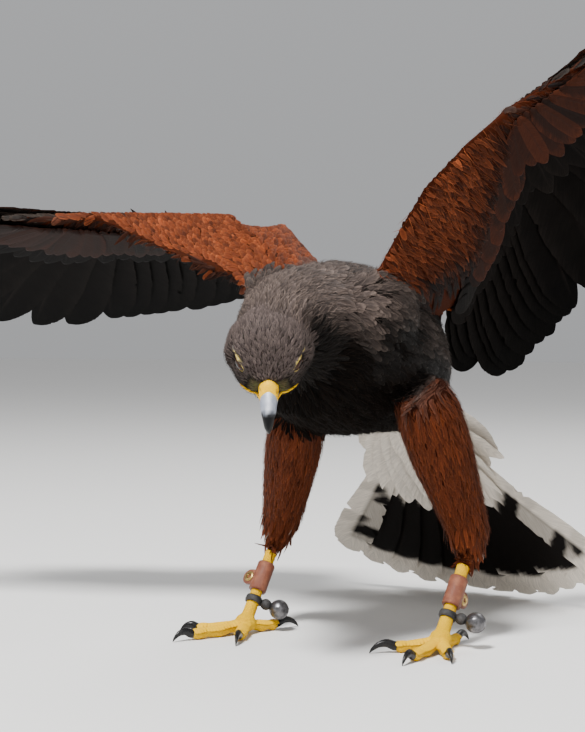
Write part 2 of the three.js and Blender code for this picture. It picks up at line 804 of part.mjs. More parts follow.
// Tail: the stump, twelve long feathers shingled from the middle outwards, and the coverts
function buildTail() {
  const drop = radians(TAIL.drop);
  const swing = radians(TAIL.swing);
  const back = new THREE.Vector3(Math.sin(swing), Math.cos(swing), 0);
  const axis = swung(back, Z.clone().negate(), drop);
  const out = new THREE.Vector3(Math.cos(swing), -Math.sin(swing), 0);
  const up = squareTo(out, axis);
  const root = point(TAIL.root);
  const stumpRing = ([far, wide, high]) => oval(shifted(root, [axis, far]), out, up, wide, high, high, 16);
  const stump = loft(TAIL_STUMP.map(stumpRing));
  const pieces = [stump];
  const lay = (angle, far, across, lift, tilt, length, half, outline) => {
    const hand = angle >= 0 ? 1 : -1;
    const turn = radians(angle + 0.5 * VARIED.degrees * vary());
    const long = length * (1 + 0.4 * VARIED.length * vary());
    const along = swung(axis, out, turn);
    const flatOut = out.clone().multiplyScalar(Math.cos(turn)).addScaledVector(axis, -Math.sin(turn));
    const lean = radians(tilt) * hand;
    const side = swung(flatOut, up, lean);
    const face = up.clone().multiplyScalar(Math.cos(lean)).addScaledVector(flatOut, -Math.sin(lean));
    const start = shifted(root, [axis, far], [out, across], [up, lift]);
    const shape = { length: long, lead: half, trail: half, outline, sag: 3 };
    pieces.push(feather({ root: start, along, up: face, side, ...shape }));
  };
  for (let i = 0; i < TAIL.count; i++) {
    const share = (i + 0.5) / TAIL.count - 0.5;
    const rank = Math.abs(share) * TAIL.count - 0.5;
    const layer = 2 * rank + (share > 0 ? 1 : 0);
    const lift = TAIL.top - TAIL.step * layer;
    const length = TAIL.length - TAIL.rooted - TAIL.shorter * rank;
    lay(2 * share * TAIL.spread, TAIL.rooted, share * 30, lift, 0, length, TAIL.half, TAIL_OUTLINE);
  }
  for (const { count, length, half, lift, tilt, spread } of TAIL_COVERTS) {
    for (let i = 0; i < count; i++) {
      const share = (i + 0.5) / count - 0.5;
      const long = length * (1 - 0.5 * share * share);
      lay(2 * share * spread, 4, share * 34, lift, tilt, long, half, COVERT_OUTLINE);
    }
  }
  addPiece("tail", aboveFloor(join(pieces).subtract(torsoAndAir)), "white");
}

// Legs, with the feathered thigh reaching down over the top of the shank
function legFrame(leg) {
  const knee = point(leg.knee);
  const hock = point(leg.hock);
  const heel = point(leg.ball);
  const down = heel.clone().sub(hock).normalize();
  return { ...leg, knee, hock, heel, down, shankEnd: between(hock, heel, SHANK.share) };
}

function ankleAt(leg, share) {
  return between(leg.hock, leg.heel, share);
}

function tarsusRadius(share) {
  return share < 0.55
    ? THREE.MathUtils.lerp(TARSUS.upper, TARSUS.middle, share / 0.55)
    : THREE.MathUtils.lerp(TARSUS.middle, TARSUS.lower, (share - 0.55) / 0.45);
}

function footBall(leg, grow) {
  const rings = [-1, -0.62, 0, 0.62, 1].map((t) => {
    const ring = (BALL.radius + grow) * Math.sqrt(Math.max(1 - t * t, 0.06));
    return oval(shifted(leg.heel, [Z, (BALL.half + grow) * t]), X, Y, ring, ring, ring, 10);
  });
  return loft(rings);
}

function buildLeg(name, pose) {
  const leg = legFrame(pose);
  const toKnee = leg.knee.clone().sub(leg.hock).normalize();
  const across = squareTo(toKnee, leg.down);
  const backward = squareTo(across, toKnee);
  const ringAt = (middle, back, wide, deep) => oval(middle, across, back, wide, deep, deep, 14);
  const rings = THIGH.map(([share, wide, deep]) => {
    return ringAt(between(leg.knee, leg.hock, share), backward, wide, deep);
  });
  rings.unshift(ringAt(shifted(leg.knee, [toKnee, 24]), backward, 20, 26));
  const bend = toKnee.clone().negate().add(leg.down).normalize();
  const bendBack = squareTo(across, bend).negate();
  rings.push(ringAt(shifted(leg.hock, [bend, 6]), bendBack, 12.5, 13.5));
  const shankBack = squareTo(across, leg.down).negate();
  rings.push(ringAt(leg.shankEnd, shankBack, SHANK.radius, SHANK.radius + 1));
  const hem = Array.from({ length: TROUSER_LOCKS.count }, (_, i) => {
    const turn = ((i + 0.5) / TROUSER_LOCKS.count - 0.5) * Math.PI * 1.3;
    const outward = swung(backward.clone().negate(), across, turn);
    const along = toKnee.clone().negate().addScaledVector(outward, 0.1).normalize();
    const side = squareTo(along, outward);
    return feather({
      root: shifted(between(leg.knee, leg.hock, 0.7), [outward, 13]),
      along,
      up: outward,
      side,
      length: TROUSER_LOCKS.length * (1 - 0.25 * Math.abs(turn)),
      lead: TROUSER_LOCKS.half,
      trail: TROUSER_LOCKS.half,
      outline: COVERT_OUTLINE,
      sag: 3,
    });
  });
  addPiece(`leg_${name}_thigh`, join([loft(rings), ...hem]).subtract(torsoAndAir), "rufous");

  const steps = [SHANK.share + AIR / leg.heel.distanceTo(leg.hock), 0.55, 0.8, 1];
  const hint = leg.down.clone().cross(across);
  const shank = (grow) => {
    const path = steps.map((s) => ankleAt(leg, s));
    return tube(path, steps.map((s) => tarsusRadius(s) + grow), 10, 1.1, hint);
  };
  addPiece(`leg_${name}_tarsus`, shank(0).subtract(footBall(leg, AIR)), "yellow");
  buildFoot(name, leg, shank(AIR).subtract(footBall(leg, 0)));
  buildAnklet(name, leg, hint);
}

// A foot of four toes with padded soles, flat where they rest, and a curved claw on each
function buildFoot(name, leg, shankAndAir) {
  const toes = [footBall(leg, 0)];
  for (const [toe, angle, length, claw] of TOES) {
    const turn = radians(leg.side * angle + leg.turn);
    const ahead = new THREE.Vector3(Math.sin(turn), -Math.cos(turn), 0);
    const on = (far, high) => shifted(leg.heel, [ahead, far]).setZ(high);
    const radii = (table) => table.map(([, , radius]) => radius);
    toes.push(tube(TOE_ARCH.map(([s, high]) => on(s * length, high)), radii(TOE_ARCH), 7, 0.98));
    const nail = tube(CLAW_HOOK.map(([s, high]) => on(length + s * claw, high)), radii(CLAW_HOOK), 7, 1.1);
    const toeEnd = ahead.dot(leg.heel) + length + TOE_END + AIR;
    addPiece(`claw_${name}_${toe}`, aboveFloor(nail.trimByPlane(ahead.toArray(), toeEnd)), "black");
  }
  addPiece(`foot_${name}`, aboveFloor(join(toes).subtract(shankAndAir)), "yellow");
}

function buildAnklet(name, leg, hint) {
  const square = (direction) => {
    const flat = point(direction);
    return flat.addScaledVector(leg.down, -flat.dot(leg.down)).normalize();
  };
  const sleeve = (from, to, leather) => {
    const shares = [from, (from + to) / 2, to];
    const long = [from - 0.05, (from + to) / 2, to + 0.05];
    const round = (list, grow) => {
      const path = list.map((s) => ankleAt(leg, s));
      return tube(path, list.map((s) => tarsusRadius(s) + AIR + grow), 10, 1.1, hint);
    };
    return { outer: round(shares, leather), inner: round(long, 0) };
  };
  const anklet = sleeve(ANKLET.from, ANKLET.to, ANKLET.leather);
  const middle = ankleAt(leg, (ANKLET.from + ANKLET.to) / 2);
  const tabOut = square(leg.eyelet);
  const thin = squareTo(tabOut, leg.down);
  const corner = (out, far, deep) => shifted(middle, [tabOut, out], [leg.down, far], [thin, deep]);
  const thick = ANKLET.tabThickness / 2;
  const tabRing = ([out, half]) =>
    [
      [-half, -thick],
      [half, -thick],
      [half, thick],
      [-half, thick],
    ].map(([far, deep]) => corner(out, far, deep));
  const tabEnd = tarsusRadius(0.55) + ANKLET.tab;
  const tabSteps = [
    [3, ANKLET.tabHeight / 2],
    [tabEnd - ANKLET.rounded, ANKLET.tabHeight / 2],
    [tabEnd, ANKLET.tabHeight / 4],
  ];
  const eye = corner(tabEnd - ANKLET.eyeInset, 0, 0);
  const bar = (radius, half) => {
    const ends = [shifted(eye, [thin, -half]), shifted(eye, [thin, half])];
    return tube(ends, [radius, radius], 8, 1, leg.down);
  };
  const cuff = join([anklet.outer, loft(tabSteps.map(tabRing))]);
  addPiece(`anklet_${name}`, cuff.subtract(anklet.inner).subtract(bar(EYELET.hole, 6)), "leather");
  const face = ANKLET.tabThickness / 2 + AIR;
  const flanges = [-1, 1].map((s) => {
    const rim = (far) => shifted(eye, [thin, s * far]);
    return tube([rim(face), rim(face + EYELET.rim)], [EYELET.flange, EYELET.flange], 8, 1, leg.down);
  });
  const barrel = bar(EYELET.barrel, face + 0.2);
  addPiece(`eyelet_${name}`, join([barrel, ...flanges]).subtract(bar(EYELET.bore, 6)), "brass");

  const strap = sleeve(STRAP.from, STRAP.to, STRAP.leather);
  const at = ankleAt(leg, (STRAP.from + STRAP.to) / 2);
  const toBell = square(leg.bell);
  const bellMiddle = shifted(at, [toBell, BELL.out]);
  const ends = [shifted(at, [toBell, 4]), shifted(at, [toBell, STRAP.reach])];
  const link = tube(ends, [STRAP.link, STRAP.link], 6, 0.7);
  const button = ball(shifted(at, [toBell, STRAP.reach + 1]), STRAP.button, toBell, 7);
  const bellAndAir = ball(bellMiddle, BELL.radius + AIR * 2, toBell, 10);
  const made = join([strap.outer, link, button]).subtract(strap.inner).subtract(bellAndAir);
  addPiece(`bell_strap_${name}`, made, "black");
  const slotEnds = [BELL.slotDeep, BELL.slotOpen].map((far) => shifted(bellMiddle, [toBell, far]));
  const slot = tube(slotEnds, [BELL.slotHalf, BELL.slotHalf], 8, BELL.slot / (2 * BELL.slotHalf));
  addPiece(`bell_${name}`, ball(bellMiddle, BELL.radius, toBell, 12).subtract(slot), "horn");
}

const skullAndAir = skullSolid(AIR);
addPiece("torso", torso, "dark");
addPiece("neck", neckSolid(0).subtract(skullAndAir), "dark");
buildHead();
for (const name of ["left", "right"]) {
  buildWing(name, POSE[name]);
  buildLeg(name, LEGS[name]);
}
buildTail();

export default hawk;
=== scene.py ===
# A harris hawk at life size, just alighting: wings raised, tail fanned, head bowed to look at its feet.
# Design numbers are millimetres in the bird's own stance: it faces -Y, its left side is +X, and X = Y = 0
# lies under the middle of the torso. row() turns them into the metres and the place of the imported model.
import functools
import math

import bmesh
import bpy
import numpy as np
from mathutils import Matrix, Vector
from mathutils.bvhtree import BVHTree


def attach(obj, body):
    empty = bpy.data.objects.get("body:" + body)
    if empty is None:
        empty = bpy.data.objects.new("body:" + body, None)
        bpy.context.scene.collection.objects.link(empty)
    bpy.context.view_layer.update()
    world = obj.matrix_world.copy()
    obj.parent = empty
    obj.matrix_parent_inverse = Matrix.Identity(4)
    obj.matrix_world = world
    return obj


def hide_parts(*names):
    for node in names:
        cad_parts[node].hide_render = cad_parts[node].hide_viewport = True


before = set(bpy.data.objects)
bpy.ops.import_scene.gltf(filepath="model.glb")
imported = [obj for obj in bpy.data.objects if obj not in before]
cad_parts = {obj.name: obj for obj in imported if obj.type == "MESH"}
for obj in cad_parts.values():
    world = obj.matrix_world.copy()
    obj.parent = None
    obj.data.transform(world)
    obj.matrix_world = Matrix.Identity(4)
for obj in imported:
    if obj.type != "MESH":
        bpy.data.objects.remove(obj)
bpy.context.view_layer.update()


# ---- Camera
# The view of the photograph: a little from the bird's left, at the height of its back, with a long lens.
STANCE_SHIFT = np.array([66.3, -40.0, 0.0])
PHOTO_SIZE = (585, 732)
FOCAL_PIXELS = 1651
CAMERA_AT = (527.8, -1189.0, 238.1)
CAMERA_RIGHT = Vector((0.8988, 0.4384, 0.0))
CAMERA_UP = Vector((-0.00765, 0.01569, 0.99985))
SENSOR = 36
NEAREST = 0.05


def row(points):
    return (np.asarray(points, float) + STANCE_SHIFT) / 1000


camera_data = bpy.data.cameras.new("camera")
camera_data.sensor_width = SENSOR
camera_data.lens = SENSOR * FOCAL_PIXELS / max(PHOTO_SIZE)
camera_data.clip_start = NEAREST
camera = bpy.data.objects.new("camera", camera_data)
bpy.context.scene.collection.objects.link(camera)
right = CAMERA_RIGHT.normalized()
back = right.cross(CAMERA_UP).normalized()
up = back.cross(right)
camera.matrix_world = Matrix.Translation(row(CAMERA_AT)) @ Matrix((right, up, back)).transposed().to_4x4()
bpy.context.scene.camera = camera


# ---- Studio
# A pale floor that runs out of sight under a pale sky, one broad soft lamp high in front and weaker ones
# that open the shadows, as on a photographer's table. The sky is a little darker low down, like the floor.
FLOOR_HALF = 14
FLOOR_COLOUR = (0.80, 0.79, 0.77, 1)
SKY_COLOUR = (0.83, 0.84, 0.86, 1)
# [height, height, strength there, strength there]
SKY_STRENGTH = (0, 0.4, 0.49, 0.6)
# [place, power in watts, width of the lamp], metres
LAMPS = {
    "key": ((0.0, -1.9, 2.9), 235, 0.6),
    "fill": ((1.9, -1.6, 1.1), 9, 1.6),
    "rim": ((0.6, 2.1, 2.3), 30, 1.2),
}
LAMP_AIM = Vector((0.03, 0, 0.24))


def plain_material(name, colour, roughness):
    material = bpy.data.materials.new(name)
    material.use_nodes = True
    shader = material.node_tree.nodes["Principled BSDF"]
    shader.inputs["Base Color"].default_value = colour
    shader.inputs["Roughness"].default_value = roughness
    return material


bm = bmesh.new()
bmesh.ops.create_grid(bm, x_segments=1, y_segments=1, size=FLOOR_HALF)
floor_mesh = bpy.data.meshes.new("floor")
bm.to_mesh(floor_mesh)
bm.free()
floor = bpy.data.objects.new("floor", floor_mesh)
bpy.context.scene.collection.objects.link(floor)
floor_mesh.materials.append(plain_material("floor_paint", FLOOR_COLOUR, 0.85))

world = bpy.data.worlds.new("sky")
bpy.context.scene.world = world
world.use_nodes = True
sky_nodes, sky_links = world.node_tree.nodes, world.node_tree.links
sky_nodes["Background"].inputs["Color"].default_value = SKY_COLOUR
sky_height = sky_nodes.new("ShaderNodeSeparateXYZ")
sky_links.new(sky_nodes.new("ShaderNodeTexCoord").outputs["Generated"], sky_height.inputs[0])
sky_light = sky_nodes.new("ShaderNodeMapRange")
for key, value in zip(("From Min", "From Max", "To Min", "To Max"), SKY_STRENGTH):
    sky_light.inputs[key].default_value = value
sky_links.new(sky_height.outputs["Z"], sky_light.inputs["Value"])
sky_links.new(sky_light.outputs["Result"], sky_nodes["Background"].inputs["Strength"])

for name, (place, power, width) in LAMPS.items():
    lamp_data = bpy.data.lights.new(name, "AREA")
    lamp_data.energy = power
    lamp_data.size = width
    lamp = bpy.data.objects.new(name, lamp_data)
    bpy.context.scene.collection.objects.link(lamp)
    aim = LAMP_AIM - Vector(place)
    lamp.matrix_world = Matrix.Translation(place) @ aim.to_track_quat("-Z", "Y").to_matrix().to_4x4()


# ---- Skin
# The bird's one skin, under all its feathers: trunk, neck, head, thighs and the flesh of both wings. It is
# drawn over the solids, lies inside them by the depth of the coat, and carries the coat's colours darkened
# as painted shade, for the gaps between the feathers.
SAME_PLACE = 1e-5
VOXEL = 0.002
HEAD_REACH = 0.047
HEAD_SMOOTHINGS = 9
DEPTH_BLENDS = 12
HUMERUS = 100
ULNA = 112
HAND = 68
SHOULDER = (45, -45, 268)
FLATTENED = 0.7
# Each wing: the wrist from the shoulder, the way its elbow lies, the bow of its front web, the rise of the
# upper arm, how many inner flight feathers show, the painted shade of its lining and under coverts (the right
# wing's, in shade, is painted darker), and the ways that the tertials, the secondaries and the hand point
WINGS = {
    "left": dict(
        side=1, wrist=(84, 42, 135), elbow_lie=(0.15, 1, -0.1), web=27, crest=0, inner=3, lining=0.8,
        tertials=(-0.15, 0.79, -0.59), secondaries=(0.12, 0.75, -0.65), hand=(0.78, 0.25, 0.57),
    ),
    "right": dict(
        side=-1, wrist=(-154, -15, 63), elbow_lie=(0, 0.87, 0.5), web=5, crest=11, inner=0, lining=0.34,
        tertials=(-0.44, 0.86, -0.24), secondaries=(-0.5, 0.77, -0.38), hand=(-0.93, -0.36, 0.05),
    ),
}
# Knee, hock and ball of the foot of each leg
LEGS = {
    "left": dict(side=1, knee=(72, -17, 178), hock=(88, 33, 80), ball=(81, -17, 9), turn=0),
    "right": dict(side=-1, knee=(-36, -23, 174), hock=(-78, 31, 82), ball=(-86, -17, 9), turn=-32),
}
# [share of the way from knee to hock, half width, half depth]
THIGH = [(0, 24, 32), (0.3, 24, 30), (0.6, 21, 25), (0.85, 18.5, 21), (1, 16.5, 18)]
# [distance, half width, half depth] of the thigh's top, above the knee, and of its bend, under the hock
THIGH_TOP = (24, 20, 26)
THIGH_BEND = (6, 12.5, 13.5)
SHANK_TOP = (7.4, 8.4)
SHANK_SHARE = 0.27
HEAD_MIDDLE = np.array([13.0, -171.0, 218.0])
HEAD_TURN = math.radians(26)
HEAD_BOW = math.radians(57)
NECK_TOP = np.array([8.0, -146.0, 237.0])
NECK_FOOT = np.array([1.0, -60.0, 236.0])
TAIL_ROOT = np.array([0.0, 126.0, 178.0])
COAT_DEPTH = {"head": 0.9, "neck": 2.4, "torso": 4.0, "thigh": 3.0, "wing": 1.8}


def unit(vectors):
    vectors = np.asarray(vectors, float)
    return vectors / np.maximum(np.linalg.norm(vectors, axis=-1, keepdims=True), 1e-9)


def blend(first, second, share):
    return unit(first) * (1 - share) + unit(second) * share


def turned(first, second, share):
    whole = math.acos(float(np.clip(np.dot(first, second), -1, 1)))
    return (math.sin((1 - share) * whole) * first + math.sin(share * whole) * second) / math.sin(whole)


def wing_frame(pose):
    """The joints of one wing, and the ways that its feathers point."""
    w = dict(pose)
    side = pose["side"]
    w["shoulder"] = np.array([side * SHOULDER[0], SHOULDER[1], SHOULDER[2]], float)
    w["wrist"] = w["shoulder"] + pose["wrist"]
    reach = np.linalg.norm(pose["wrist"])
    w["span"] = unit(pose["wrist"])
    beside = np.array(pose["elbow_lie"], float)
    w["beside"] = unit(beside - w["span"] * np.dot(beside, w["span"]))
    foot = (HUMERUS**2 - ULNA**2 + reach**2) / (2 * reach)
    w["elbow"] = w["shoulder"] + w["span"] * foot + w["beside"] * math.sqrt(HUMERUS**2 - foot**2)
    w["ulna"] = unit(w["wrist"] - w["elbow"])
    w["hand"] = unit(pose["hand"])
    tertial, secondary = unit(pose["tertials"]), unit(pose["secondaries"])
    normal = unit(np.cross(w["ulna"], tertial + secondary))
    for key, way in (("tertial", tertial), ("secondary", secondary)):
        w[key] = unit(way - FLATTENED * np.dot(way, normal) * normal)
    w["up_over"] = lambda along: unit(side * np.cross(w["ulna"], along))
    w["forearm_up"] = w["up_over"](w["secondary"] + w["tertial"])
    w["hand_up"] = unit(side * np.cross(w["hand"], w["secondary"]))
    w["front_up"] = unit(side * np.cross(w["span"], w["beside"]))
    w["hand_end"] = w["wrist"] + HAND * w["hand"]
    return w


def wing_rings(w):
    """Rings round the flesh of a wing: a thin front web, a thick rib of bone and muscle, and a rear edge."""
    def webbed(share):
        bow = w["web"] * math.sin(math.pi * (0.12 + 0.8 * share))
        straight_edge = w["shoulder"] + share * (w["wrist"] - w["shoulder"])
        return straight_edge - bow * w["beside"] + 0.4 * bow * w["front_up"]

    s, e, r, h = w["shoulder"], w["elbow"], w["wrist"], w["hand_end"]
    back = turned(w["secondary"], w["hand"], 0.42)
    front, fore, hand = w["front_up"], w["forearm_up"], w["hand_up"]
    beside, inside = w["beside"], s - 18 * w["span"]
    mid_arm, mid_forearm, palm = (s + e) / 2, (e + r) / 2, (r + h) / 2
    crest = w["crest"] * front
    tip = h + 16 * w["hand"]
    # [front edge, rib, rear edge, thickness, the way up in front, the way up behind]
    stations = [
        (s - 14 * w["span"] - 20 * beside, inside + 8 * beside, inside + 58 * beside, 26, front, front),
        (webbed(0.25), mid_arm + crest, e - 42 * w["ulna"] + 12 * w["tertial"] + crest, 25, front,
         unit(front + fore)),
        (webbed(0.52), e, e + 24 * w["tertial"], 27, front, fore),
        (webbed(0.78), mid_forearm, mid_forearm + 25 * unit(w["tertial"] + w["secondary"]), 24, front, fore),
        (r - 9 * w["secondary"], r, r + 24 * w["secondary"], 19, unit(front + fore), unit(fore + hand)),
        (palm - 9 * back, palm, palm + 20 * back, 15, hand, hand),
        (h - 6 * back, h, h + 12 * back, 11, hand, hand),
        (tip - 3 * back, tip, tip + 4 * back, 4, hand, hand),
    ]
    rings = []
    for nose, spar, rear, thick, up, back_up in stations:
        middle = unit(up + back_up)
        rings.append([
            nose,
            nose + 0.12 * (spar - nose) + 0.2 * thick * up,
            nose + 0.6 * (spar - nose) + 0.36 * thick * up,
            spar + 0.52 * thick * middle,
            (spar + rear) / 2 + 0.42 * thick * back_up,
            rear + 0.12 * thick * back_up,
            rear - 0.12 * thick * back_up,
            (spar + rear) / 2 - 0.34 * thick * back_up,
            spar - 0.44 * thick * middle,
            nose + 0.6 * (spar - nose) - 0.26 * thick * up,
            nose + 0.12 * (spar - nose) - 0.16 * thick * up,
        ])
    return rings


def leg_frame(leg):
    """The joints of one leg, the way across it, and the way back from the thigh and from the shank."""
    g = dict(leg)
    for joint in ("knee", "hock", "ball"):
        g[joint] = np.array(leg[joint], float)
    g["rise"] = unit(g["knee"] - g["hock"])
    g["down"] = unit(g["ball"] - g["hock"])
    g["across"] = unit(np.cross(g["rise"], g["down"]))
    g["behind"] = unit(np.cross(g["across"], g["rise"]))
    g["shank_back"] = -unit(np.cross(g["across"], g["down"]))
    g["shank_end"] = g["hock"] + SHANK_SHARE * (g["ball"] - g["hock"])
    return g


def oval(middle, across, up, half, high, corners=16):
    turns = np.arange(corners) * 2 * math.pi / corners
    return [middle + half * math.cos(t) * across + high * math.sin(t) * up for t in turns]


def thigh_rings(g):
    far, half, deep = THIGH_TOP
    rings = [oval(g["knee"] + far * g["rise"], g["across"], g["behind"], half, deep)]
    for share, half, deep in THIGH:
        rings.append(oval(g["knee"] + share * (g["hock"] - g["knee"]), g["across"], g["behind"], half, deep))
    bend = unit(g["down"] - g["rise"])
    far, half, deep = THIGH_BEND
    rings.append(oval(g["hock"] + far * bend, g["across"], -unit(np.cross(g["across"], bend)), half, deep))
    rings.append(oval(g["shank_end"], g["across"], g["shank_back"], *SHANK_TOP))
    return rings


def add_rings(bm, rings, band=False):
    """Bridges closed rings of points. A band also joins its last ring to its first, others get end faces."""
    loops = []
    for ring in rings:
        verts = [bm.verts.new(p) for p in row(ring)]
        loops.append([bm.edges.new(pair) for pair in zip(verts, verts[1:] + verts[:1])])
    for first, second in zip(loops, loops[1:] + loops[:band]):
        bmesh.ops.bridge_loops(bm, edges=first + second)
    if not band:
        bmesh.ops.holes_fill(bm, edges=loops[0] + loops[-1], sides=0)
    bmesh.ops.recalc_face_normals(bm, faces=bm.faces)


def new_object(name, bm_or_mesh, material):
    """An object at the origin made from a bmesh or a mesh, with one material."""
    mesh = bm_or_mesh
    if isinstance(bm_or_mesh, bmesh.types.BMesh):
        mesh = bpy.data.meshes.new(name)
        bm_or_mesh.to_mesh(mesh)
        bm_or_mesh.free()
    piece = bpy.data.objects.new(name, mesh)
    bpy.context.scene.collection.objects.link(piece)
    if material:
        mesh.materials.append(material)
    mesh.shade_smooth()
    return piece


def ringed(name, rings, material, band=False):
    """An object made of one run of rings."""
    bm = bmesh.new()
    add_rings(bm, rings, band)
    return new_object(name, bm, material)


def from_nodes(*names):
    """The solids of some nodes as one mesh, with the corners that their triangles share joined."""
    bm = bmesh.new()
    for node in names:
        bm.from_mesh(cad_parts[node].data)
    bmesh.ops.remove_doubles(bm, verts=bm.verts, dist=SAME_PLACE)
    return bm


def drawn_over(piece, voxel):
    """Makes the next step draw one closed skin over all that a piece holds."""
    remesh = piece.modifiers.new("draw", "REMESH")
    remesh.mode, remesh.voxel_size = "VOXEL", voxel


def cut(piece, cutter):
    """Takes one closed mesh out of another."""
    hole = piece.modifiers.new("cut", "BOOLEAN")
    hole.object, hole.operation, hole.solver = cutter, "DIFFERENCE", "EXACT"
    finished(piece)
    piece.data.shade_smooth()
    bpy.data.objects.remove(cutter)


def finished(piece):
    """The piece's mesh with its modifiers applied."""
    bpy.context.view_layer.update()
    seen = piece.evaluated_get(bpy.context.evaluated_depsgraph_get())
    mesh = bpy.data.meshes.new_from_object(seen)
    piece.modifiers.clear()
    piece.data = mesh
    return piece


wings = {name: wing_frame(pose) for name, pose in WINGS.items()}
legs = {name: leg_frame(leg) for name, leg in LEGS.items()}
# The parts of the skin, each a closed mesh of its own before they are drawn into one
parts = {node: from_nodes(node) for node in ("torso", "neck", "head")}
for name, g in legs.items():
    parts[f"thigh_{name}"] = bmesh.new()
    add_rings(parts[f"thigh_{name}"], thigh_rings(g))
for name, w in wings.items():
    parts[f"wing_{name}"] = bmesh.new()
    add_rings(parts[f"wing_{name}"], wing_rings(w))
part_names = list(parts)
part_trees = {name: BVHTree.FromBMesh(bm) for name, bm in parts.items()}

whole = bmesh.new()
for name, bm in parts.items():
    loose = bpy.data.meshes.new(name)
    bm.to_mesh(loose)
    whole.from_mesh(loose)
    bpy.data.meshes.remove(loose)
    bm.free()
skin = new_object("skin", whole, None)
drawn_over(skin, VOXEL)
finished(skin)


def in_head(forward, out, up):
    """A point given in the head's own axes: forward to the bill, out to its left, up through the crown."""
    return HEAD_MIDDLE + forward * head_forward + out * head_out + up * head_up


head_turn = Matrix.Rotation(HEAD_TURN, 3, "Z")
head_forward = np.array(head_turn @ (Matrix.Rotation(HEAD_BOW, 3, "X") @ Vector((0, -1, 0))))
head_out = np.array(head_turn @ Vector((1, 0, 0)))
head_up = -np.cross(head_out, head_forward)

# The head is drawn twice as fine, then all is smoothed and set inwards by the coat's depth
bm = bmesh.new()
bm.from_mesh(skin.data)
head_at = Vector(row(HEAD_MIDDLE))
near_head = [e for e in bm.edges if all((v.co - head_at).length < HEAD_REACH for v in e.verts)]
bmesh.ops.subdivide_edges(bm, edges=near_head, cuts=1, use_grid_fill=True)
bmesh.ops.triangulate(bm, faces=[f for f in bm.faces if len(f.verts) > 4])
for _ in range(HEAD_SMOOTHINGS):
    bmesh.ops.smooth_vert(bm, verts=bm.verts, factor=0.5, use_axis_x=True, use_axis_y=True, use_axis_z=True)
bm.to_mesh(skin.data)
bm.free()


def vertex_array(mesh, what="vertices", key="co", width=3):
    items = getattr(mesh, what)
    values = np.empty(len(items) * width)
    items.foreach_get(key, values)
    return values.reshape(-1, width)


def kinds_at(points):
    """Which part of the body each point, in metres, lies on."""
    far = np.empty((len(part_names), len(points)))
    for k, name in enumerate(part_names):
        find = part_trees[name].find_nearest
        far[k] = [find(p)[3] for p in points]
    return far.argmin(0)


corners = vertex_array(skin.data)
normals = vertex_array(skin.data, "vertex_normals", "vector")
kinds = kinds_at([Vector(p) for p in corners])
depth = np.array([COAT_DEPTH[name.split("_")[0]] for name in part_names])[kinds] / 1000
ends = vertex_array(skin.data, "edges", "vertices", 2).astype(int)
count = np.bincount(ends.ravel(), minlength=len(corners))
for _ in range(DEPTH_BLENDS):
    total = np.zeros(len(corners))
    np.add.at(total, ends[:, 0], depth[ends[:, 1]])
    np.add.at(total, ends[:, 1], depth[ends[:, 0]])
    depth = 0.5 * depth + 0.5 * total / count
corners -= normals * depth[:, None]


def smooth_step(low, high, values):
    t = np.clip((values - low) / (high - low), 0, 1)
    return t * t * (3 - 2 * t)


def eye_look(side):
    return unit(0.42 * head_forward + side * 0.9 * head_out - 0.04 * head_up)


def eye_axes(side):
    """The way an eye looks, the way to its front corner and the way to its upper lid."""
    look = eye_look(side)
    ahead = unit(head_forward - np.dot(head_forward, look) * look)
    return look, ahead, np.cross(look, ahead) * side


def opening(turn):
    """Polar angle of the lid's edge round the eye: pointed at the corners, flatter above than below."""
    above = np.where(np.sin(turn) > 0, 10, 2)
    return 49 - 9 * np.abs(np.sin(turn)) ** 1.3 - above * np.abs(np.sin(turn)) ** 1.6


EYE = dict(forward=-3.2, out=15.2, up=2.4, radius=7.8)
SOCKET = dict(under=1.3, deepens=1.7, reach=9)
# Sunken lores, full cheeks and jaws, and a shelf of brow over each eye:
# [forward, out, up, reach, push, and the way it pushes: out and up]
HEAD_FORMS = (
    (11.5, 14.5, -3.5, 6.5, -1.3, 1, 0),
    (-3, 24, 3, 9, -2.4, 1, 0),
    (-11, 26, -9, 12, 3.8, 1, -0.2),
    (4, 17, -14, 9, 3.2, 0.9, -0.4),
    (11, 10, -15, 7, 2.6, 0.8, -0.6),
    (-9, 19, 11.5, 5.5, 2.6, 0.9, 0.3),
    (-3, 18, 11, 5, 2.8, 0.9, 0.3),
    (4, 14.5, 8.5, 4.5, 1.8, 0.9, 0.3),
)
stance_corners = corners * 1000 - STANCE_SHIFT
for side in (1, -1):
    for form_forward, form_out, form_up, reach, push, outward, upward in HEAD_FORMS:
        far = np.linalg.norm(stance_corners - in_head(form_forward, side * form_out, form_up), axis=1)
        way = unit(side * outward * head_out + upward * head_up)
        stance_corners += (push * np.exp(-((far / reach) ** 2)))[:, None] * way
    eye = in_head(EYE["forward"], side * EYE["out"], EYE["up"])
    look, ahead, above = eye_axes(side)
    away = stance_corners - eye
    far = np.maximum(np.linalg.norm(away, axis=1), 1e-6)
    polar = np.degrees(np.arccos(np.clip(away @ look / far, -1, 1)))
    past = polar - opening(np.arctan2(away @ above, away @ ahead))
    inner = EYE["radius"] - SOCKET["under"] + SOCKET["deepens"] * smooth_step(0, 7, past)
    new_far = inner + (np.maximum(far, inner) - inner) * smooth_step(2, 24, past)
    near_eye = (far < EYE["radius"] + SOCKET["reach"]) & (polar < 100)
    stance_corners[near_eye] = eye + away[near_eye] * (new_far / far)[near_eye, None]
skin.data.vertices.foreach_set("co", row(stance_corners).ravel())
skin.data.update()

